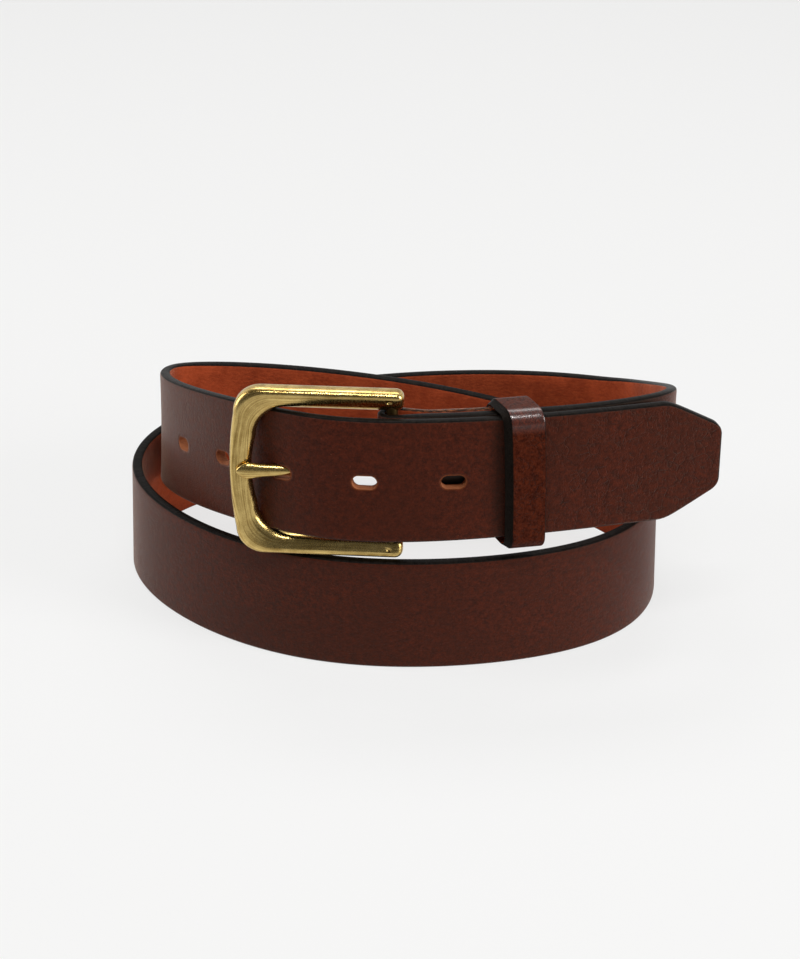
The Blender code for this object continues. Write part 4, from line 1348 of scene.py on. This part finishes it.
def paint_edges(mesh):
    """Give the edge strips of the strap, beyond its bare fold, their own finish."""
    mesh.materials.append(EDGE_PAINT)
    place, coat = mesh.uv_layers["place"].uv, mesh.uv_layers["coat"].uv
    for face in mesh.polygons:
        corners = face.loop_indices
        on_edge = np.mean([coat[corner].vector.y for corner in corners]) > EDGE_SHARE
        painted = np.mean([place[corner].vector.x for corner in corners]) > PAINT_START * MM
        if face.material_index == 0 and on_edge and painted:
            face.material_index = len(mesh.materials) - 1


def keep_normals(mesh):
    """Store every corner's shading normal, so that cut pieces still shade as one."""
    normals = np.zeros(len(mesh.loops) * 3, np.float32)
    mesh.corner_normals.foreach_get("vector", normals)
    layer = mesh.attributes.new("kept_normal", "FLOAT_VECTOR", "CORNER")
    layer.data.foreach_set("vector", normals)


def close_ends(work):
    """Close every open end of a cut strap with a fan of triangles round the middle of its section."""
    waiting = {edge for edge in work.edges if edge.is_boundary}
    while waiting:
        ring = [waiting.pop()]
        for edge in ring:
            for corner in edge.verts:
                near = [other for other in corner.link_edges if other in waiting]
                waiting.difference_update(near)
                ring.extend(near)
        corners = {corner for edge in ring for corner in edge.verts}
        middle = work.verts.new(sum((corner.co for corner in corners), Vector()) / len(corners))
        for edge in ring:
            loop = edge.link_loops[0]
            edge.smooth = False
            work.faces.new((loop.link_loop_next.vert, loop.vert, middle))


def strap_length(name, strap, start, end):
    """Closed piece of the strap between two lengths along it."""
    work = bmesh.new()
    work.from_mesh(strap.data)
    length = work.faces.layers.float["length"]
    outside = [face for face in work.faces if not start <= face[length] < end]
    bmesh.ops.delete(work, geom=outside, context="FACES")
    close_ends(work)
    mesh = bpy.data.meshes.new(name)
    work.to_mesh(mesh)
    work.free()
    for finish in strap.data.materials:
        mesh.materials.append(finish)
    normals = np.zeros(len(mesh.loops) * 3, np.float32)
    mesh.attributes["kept_normal"].data.foreach_get("vector", normals)
    mesh.normals_split_custom_set(normals.reshape(-1, 3).tolist())
    for spent in ("kept_normal", "length"):
        mesh.attributes.remove(mesh.attributes[spent])
    return link_object(name, mesh)


# Brass

def frame_edges():
    """Outer and inner outline of half the frame, from arm end to front bar, as pairs of (reach, rise)."""
    high = STRAP_WIDTH / 2.0 + FRAME_PLAY
    outer_high = high + ARM_HEIGHT
    bar_outer = FRAME_REACH + FRONT_BAR_WIDTH / 2.0 - FRONT_BAR_BOW
    bar_inner = FRAME_REACH - FRONT_BAR_WIDTH / 2.0 - FRONT_BAR_BOW
    pairs = []
    outer_turn = bar_outer - OUTER_CORNER
    inner_turn = bar_inner - INNER_CORNER
    start = ARM_END_ROUND - ARM_OVERHANG
    for share in np.linspace(0.0, 1.0, ARM_STOPS):
        outer = (start + (outer_turn - start) * share, outer_high)
        inner = (start + (inner_turn - start) * share, high)
        pairs.append((outer, inner))
    for k in range(1, FRAME_CORNER_STEPS + 1):
        angle = math.radians(90.0 * k / FRAME_CORNER_STEPS)
        across, down = math.sin(angle), 1.0 - math.cos(angle)
        outer = (outer_turn + OUTER_CORNER * across, outer_high - OUTER_CORNER * down)
        inner = (inner_turn + INNER_CORNER * across, high - INNER_CORNER * down)
        pairs.append((outer, inner))
    outer_start, inner_start = pairs[-1][0][1], pairs[-1][1][1]
    for share in np.linspace(1.0, 0.0, FRONT_BAR_STOPS)[1:]:
        bow = FRONT_BAR_BOW * (1.0 - share ** 2)
        pairs.append(((bar_outer + bow, outer_start * share), (bar_inner + bow, inner_start * share)))
    return pairs


def frame_stations():
    """Stations of the whole frame, with rounded arm ends."""
    pairs = frame_edges()
    pairs += [((a[0], -a[1]), (b[0], -b[1])) for a, b in pairs[-2::-1]]
    stations = []
    for outer, inner in pairs:
        middle = [(a + b) / 2.0 for a, b in zip(outer, inner)]
        across = buckle.reach * (outer[0] - inner[0]) + buckle.rise * (outer[1] - inner[1])
        centre = buckle.place(middle[0], middle[1] - FRAME_SAG, 0.0)
        half = np.linalg.norm(across) / 2.0
        stations.append((centre, unit(across), half))
    deep = FRAME_DEPTH / 2.0
    full = []
    run = 0.0
    for k, (centre, across, half) in enumerate(stations):
        if k:
            run += np.linalg.norm(centre - stations[k - 1][0])
        full.append(Station(centre, across, buckle.face, half, deep, along=run))
    ends = []
    for centre, across, half in (stations[0], stations[-1]):
        row = []
        for share in ARM_END_SHARES:
            scale = (1.0 - (1.0 - share) ** ARM_END_POWER) ** (1.0 / ARM_END_POWER)
            spot = centre - buckle.reach * ARM_END_ROUND * (1.0 - share)
            row.append(Station(spot, across, buckle.face, half * scale, deep * scale))
        ends.append(row)
    return ends[0] + full + ends[1][::-1]


# Sections of the frame and the prong, as points across and outward
FRAME_RING = ((0.3, -1.0), (0.78, -0.94), (0.97, -0.62), (1.0, -0.15), (0.96, 0.36), (0.83, 0.74),
              (0.6, 0.96), (0.34, 1.0), (0.1, 0.94), (-0.16, 0.85), (-0.44, 0.74), (-0.72, 0.54),
              (-0.92, 0.19), (-1.0, -0.28), (-0.95, -0.68), (-0.74, -0.94), (-0.3, -1.0))


def plain_section(points):
    return [(a, n, 0.0, 0.0, 0.0, 0.0) for a, n in points]


def heel_pin(name, radius, sunk):
    """Round pin between the arms, sunk into each arm by a length."""
    half = STRAP_WIDTH / 2.0 + FRAME_PLAY + sunk
    start = buckle.place(0.0, -half - FRAME_SAG, 0.0)
    return turned(name, start, buckle.rise, buckle.reach, ((0.0, radius), (2.0 * half, radius)))


def heel_bar():
    pin = heel_pin("heel_bar_brass", BAR_DIAMETER / 2.0, ARM_HEIGHT * BORE_SHARE - BAR_FIT)
    # The bar's brass is painted darker: painted shade where it sits under the fold
    item = dressed(pin, SHADED_BRASS)
    shade(item, smooth_angle=40.0)
    return item


def buckle_frame():
    section = plain_section(smooth_ring(FRAME_RING, spans=4))
    item = sweep("buckle_frame_brass", frame_stations(), section, BRASS)
    bore = BAR_DIAMETER / 2.0 + BAR_FIT
    cutters = [heel_pin("bore", bore, ARM_HEIGHT * BORE_SHARE), prong_shank("seat", PRONG_GAP)]
    high = STRAP_WIDTH / 2.0 + FRAME_PLAY + ARM_HEIGHT / 2.0
    face = FRAME_DEPTH / 2.0 + PUNCH_MARK * PUNCH_MARK_LIFT
    turns = np.linspace(-PUNCH_MARK_TURN, PUNCH_MARK_TURN, PUNCH_MARK_STOPS)
    ball = [(-PUNCH_MARK * math.sin(turn), PUNCH_MARK * math.cos(turn)) for turn in turns]
    for side in (-1.0, 1.0):
        spot = buckle.place(PUNCH_MARK_REACH, side * high - FRAME_SAG, face)
        cutters.append(turned("punch_mark", spot, buckle.face, buckle.reach, ball, PUNCH_MARK_SIDES))
    for cutter in cutters:
        combine(item, dressed(cutter, BRASS), "DIFFERENCE")
    shade(item, smooth_angle=55.0)
    return item


def prong_spine():
    """Reach and face of three points of the prong: at its ring, in the hole and on the front bar."""
    hole = buckle.local(route.at(buckle.hole_at)[0])
    rest = FRAME_DEPTH / 2.0 - SEAT_DEPTH + PRONG_GAP + PRONG_THICKNESS / 2.0
    start = BAR_DIAMETER / 2.0 + BAR_GAP + PRONG_RING_WALL / 3.0
    return (start, 0.0), (hole[0], hole[2] + PRONG_RISE), (FRAME_REACH, rest)


def spine_face(spine, reach):
    """Face offset of the prong at a reach: a parabola through the three points."""
    total = 0.0
    reaches = [point[0] for point in spine]
    for here, face in spine:
        weight = face
        for other in reaches:
            if other != here:
                weight *= (reach - other) / (here - other)
        total += weight
    return total


def prong_half_width(to_point):
    """Half width of the prong by distance from its point: a spear head, then a shank that narrows."""
    spots = (0.0, 0.12, 0.5, 1.2, 2.2, 3.4, 4.8, 6.4, 8.2, 10.5, 14.0, 60.0)
    halves = (0.12, 0.5, 1.1, 1.75, 2.3, 2.55, 2.46, 2.2, 2.0, 1.86, 1.68, 1.5)
    return float(np.interp(to_point, spots, halves))


PRONG_RING = ((1.0, -0.1), (0.82, 0.5), (0.42, 0.88), (0.0, 1.0), (-0.42, 0.88), (-0.82, 0.5), (-1.0, -0.1),
              (-0.88, -0.58), (-0.5, -0.9), (0.0, -1.0), (0.5, -0.9), (0.88, -0.58))


def prong_shank(name, margin):
    """Prong without its ring, grown by a margin on every side."""
    spine = prong_spine()
    start = spine[0][0]
    point = FRAME_REACH + FRONT_BAR_WIDTH / 2.0 - PRONG_SHORT_OF_EDGE
    reaches = list(point - PRONG_POINT * np.array(PRONG_POINT_SHARES))
    reaches += list(np.linspace(reaches[-1], start, PRONG_STOPS)[1:])
    stations = []
    for k, reach in enumerate(reaches):
        to_point = point - reach
        half = prong_half_width(to_point) + margin
        full = min(1.0, to_point / PRONG_POINT) ** PRONG_POINT_POWER
        deep = PRONG_THICKNESS * (PRONG_POINT_THICKNESS + (1.0 - PRONG_POINT_THICKNESS) * full)
        spot = buckle.place(reach + (margin if k == 0 else 0.0), 0.0, spine_face(spine, reach))
        stations.append(Station(spot, buckle.rise, buckle.face, half, deep / 2.0 + margin, along=to_point))
    return sweep(name, stations, plain_section(smooth_ring(PRONG_RING, spans=5)), BRASS)


def brass_prong():
    item = prong_shank("prong_brass", 0.0)
    bore = BAR_DIAMETER / 2.0 + BAR_GAP
    outer = bore + PRONG_RING_WALL
    base = buckle.place(0.0, -PRONG_RING_WIDTH / 2.0, 0.0)
    soft = PRONG_RING_CHAMFER
    part = soft * PRONG_RING_SOFT
    wide = PRONG_RING_WIDTH
    profile = ((0.0, bore), (0.0, outer - soft), (part, outer - part), (soft, outer), (wide - soft, outer),
               (wide - part, outer - part), (wide, outer - soft), (wide, bore))
    upward = np.cross(buckle.rise, buckle.reach)
    rows = [ring_points(base + buckle.rise * d, buckle.reach, upward, r) for d, r in profile]
    combine(item, dressed(loft("ring", rows, closed=True), BRASS), "UNION")
    shade(item, smooth_angle=55.0)
    return item


# Keeper

def keeper_loop():
    """Leather loop, a little bowed over the straps, with drilled holes for its staple."""
    half = KEEPER_WIDTH / 2.0
    wall = KEEPER_THICKNESS / 2.0
    stations = []
    length = 0.0
    before = None
    for rise, face, out_rise, out_face in keeper.loop():
        high = rise / (keeper.half_height + wall)
        bow = KEEPER_BOW * (1.0 - high ** 2) * ease(face / keeper.half_depth)
        centre = keeper.place(0.0, rise, face + bow)
        if before is not None:
            length += np.linalg.norm(centre - before)
        before = centre
        outward = unit(keeper.rise * out_rise + (keeper.face + keeper.along * KEEPER_SLANT) * out_face)
        centre = centre + outward * KEEPER_SKIVE / 2.0
        thin = wall - KEEPER_SKIVE / 2.0
        stations.append(Station(centre, keeper.along, outward, half, thin, KEEPER_EDGE, length))
    section = strap_profile(grain_spans=10, flesh_spans=8, corner_spans=4, bevel=KEEPER_BEVEL)
    item = sweep("keeper_leather_loop", stations, section, KEEPER_LEATHER)
    radius = STAPLE_WIRE / 2.0 + STAPLE_GAP
    for side in (-1.0, 1.0):
        inner = keeper.place(0.0, side * STAPLE_SPAN / 2.0, -keeper.half_depth)
        start = inner + keeper.outward() * KEEPER_EDGE
        profile = ((0.0, radius), (KEEPER_THICKNESS * LEG_HOLE_DEPTH, radius))
        drill = turned("leg_hole", start, -keeper.outward(), keeper.rise, profile)
        combine(item, dressed(drill, CUT_LEATHER), "DIFFERENCE")
    shade(item, smooth_angle=50.0)
    return item


# Assembly

def carry(item, body, slot, *nodes):
    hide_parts(*nodes)
    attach(item, body)


def bend(item, first, second, start, end):
    """Strap piece that bends from one body to another between two lengths along the strap."""
    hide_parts("strap")
    ends = [tuple(to_frame(route.at(distance)[0])) for distance in (start, end)]
    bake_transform(item, first, second, start=ends[0], end=ends[1])


def refinish(item, finish):
    for place in item.material_slots:
        place.material = finish


def build_belt():
    hole = buckle.hole_at
    splits = [hole + step for step in STRAP_SPLITS]
    strap = whole_strap(splits)
    mark_lengths(strap.data)
    paint_edges(strap.data)
    keep_normals(strap.data)
    coil = strap_length("strap_coil", strap, -math.inf, splits[0])
    carry(coil, "strap", "strap_leather", "strap")
    for k, (name, first, second, low, high) in enumerate(STRAP_BENDS):
        bend(strap_length(name, strap, splits[k], splits[k + 1]), first, second, hole + low, hole + high)
    tip = strap_length("strap_free_end", strap, splits[-1], math.inf)
    carry(tip, "strap", "strap_leather", "strap")
    bpy.data.objects.remove(strap, do_unlink=True)
    carry(buckle_frame(), "buckle", "antique_brass", "buckle_frame")
    carry(heel_bar(), "buckle", "antique_brass", "heel_bar")
    carry(brass_prong(), "prong", "antique_brass", "prong")
    carry(keeper_loop(), "keeper", "keeper_leather", "keeper_loop")
    for name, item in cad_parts.items():
        if name.startswith(("screw_post", "post_screw", "keeper_staple")):
            refinish(item, STEEL)


# Studio

def floor_finish():
    """Pale floor: nearly white to the camera, dimmer to mirror rays in front, darker to bounced light."""
    made, tree, shader = material("studio_floor", Roughness=0.9, Specular_IOR_Level=0.1)
    light_path = tree.nodes.new("ShaderNodeLightPath").outputs
    pale = mixed_colour(tree, light_path["Is Diffuse Ray"], FLOOR_COLOUR, FLOOR_BOUNCE)
    feed(tree, shader.inputs["Base Color"], pale)
    seen = value_of(tree, "MAXIMUM", light_path["Is Camera Ray"], light_path["Is Glossy Ray"])
    seen = value_of(tree, "MAXIMUM", seen, light_path["Is Transmission Ray"])
    ahead = parts(tree, tree.nodes.new("ShaderNodeTexCoord").outputs["Object"])[1]
    dim = times(tree, light_path["Is Glossy Ray"], band(tree, ahead, *FLOOR_DIM_RANGE))
    strength = mixed_value(tree, dim, 1.0, FLOOR_DIM)
    glow = add(tree, "ShaderNodeEmission", {"Color": FLOOR_GLOW, "Strength": strength}).outputs[0]
    share = times(tree, seen, FLOOR_GLOW_SHARE)
    lit = add(tree, "ShaderNodeMixShader", {0: share, 1: shader.outputs[0], 2: glow}).outputs[0]
    feed(tree, tree.nodes["Material Output"].inputs["Surface"], lit)
    return made


def studio_floor():
    half = FLOOR_HALF
    corners = [(-half, -half, 0.0), (half, -half, 0.0), (half, half, 0.0), (-half, half, 0.0)]
    mesh = bpy.data.meshes.new("studio_floor")
    mesh.from_pydata(corners, [], [(0, 1, 2, 3)])
    mesh.materials.append(floor_finish())
    link_object("studio_floor", mesh)


def softbox(name, place, size, power):
    lamp = bpy.data.lights.new(name, "AREA")
    lamp.shape = "RECTANGLE"
    lamp.size, lamp.size_y = size
    lamp.energy = power
    item = link_object(name, lamp)
    item.location = place
    item.rotation_euler = (Vector(LAMP_TARGET) - Vector(place)).to_track_quat("-Z", "Y").to_euler()


def studio_light():
    """Soft lamps above and at both sides; mirror rays see a bright backdrop behind the belt, a dim front."""
    world = bpy.data.worlds.new("studio")
    world.use_nodes = True
    tree = world.node_tree
    backward = parts(tree, tree.nodes.new("ShaderNodeTexCoord").outputs["Generated"])[1]
    light_path = tree.nodes.new("ShaderNodeLightPath").outputs
    backdrop = band(tree, backward, *BACKDROP_RANGE, *BACKDROP_STRENGTH)
    strength = mixed_value(tree, light_path["Is Glossy Ray"], AMBIENT_STRENGTH, backdrop)
    strength = mixed_value(tree, light_path["Is Camera Ray"], strength, CAMERA_STRENGTH)
    background = tree.nodes["Background"].inputs
    feed(tree, background["Strength"], strength)
    feed(tree, background["Color"], (1.0, 1.0, 1.0, 1.0))
    bpy.context.scene.world = world
    for lamp in LAMPS:
        softbox(*lamp)


def camera():
    made = bpy.data.cameras.new("camera")
    made.lens = CAMERA_LENS
    item = link_object("camera", made)
    angle = math.radians(CAMERA_ELEVATION)
    away = Vector((0.0, -math.cos(angle), math.sin(angle))) * CAMERA_DISTANCE * MM
    item.location = to_frame(CAMERA_TARGET) + away
    item.rotation_euler = (math.pi / 2.0 - angle, 0.0, 0.0)
    bpy.context.scene.camera = item


build_belt()
studio_floor()
studio_light()
camera()
bpy.context.scene.view_settings.view_transform = "Standard"
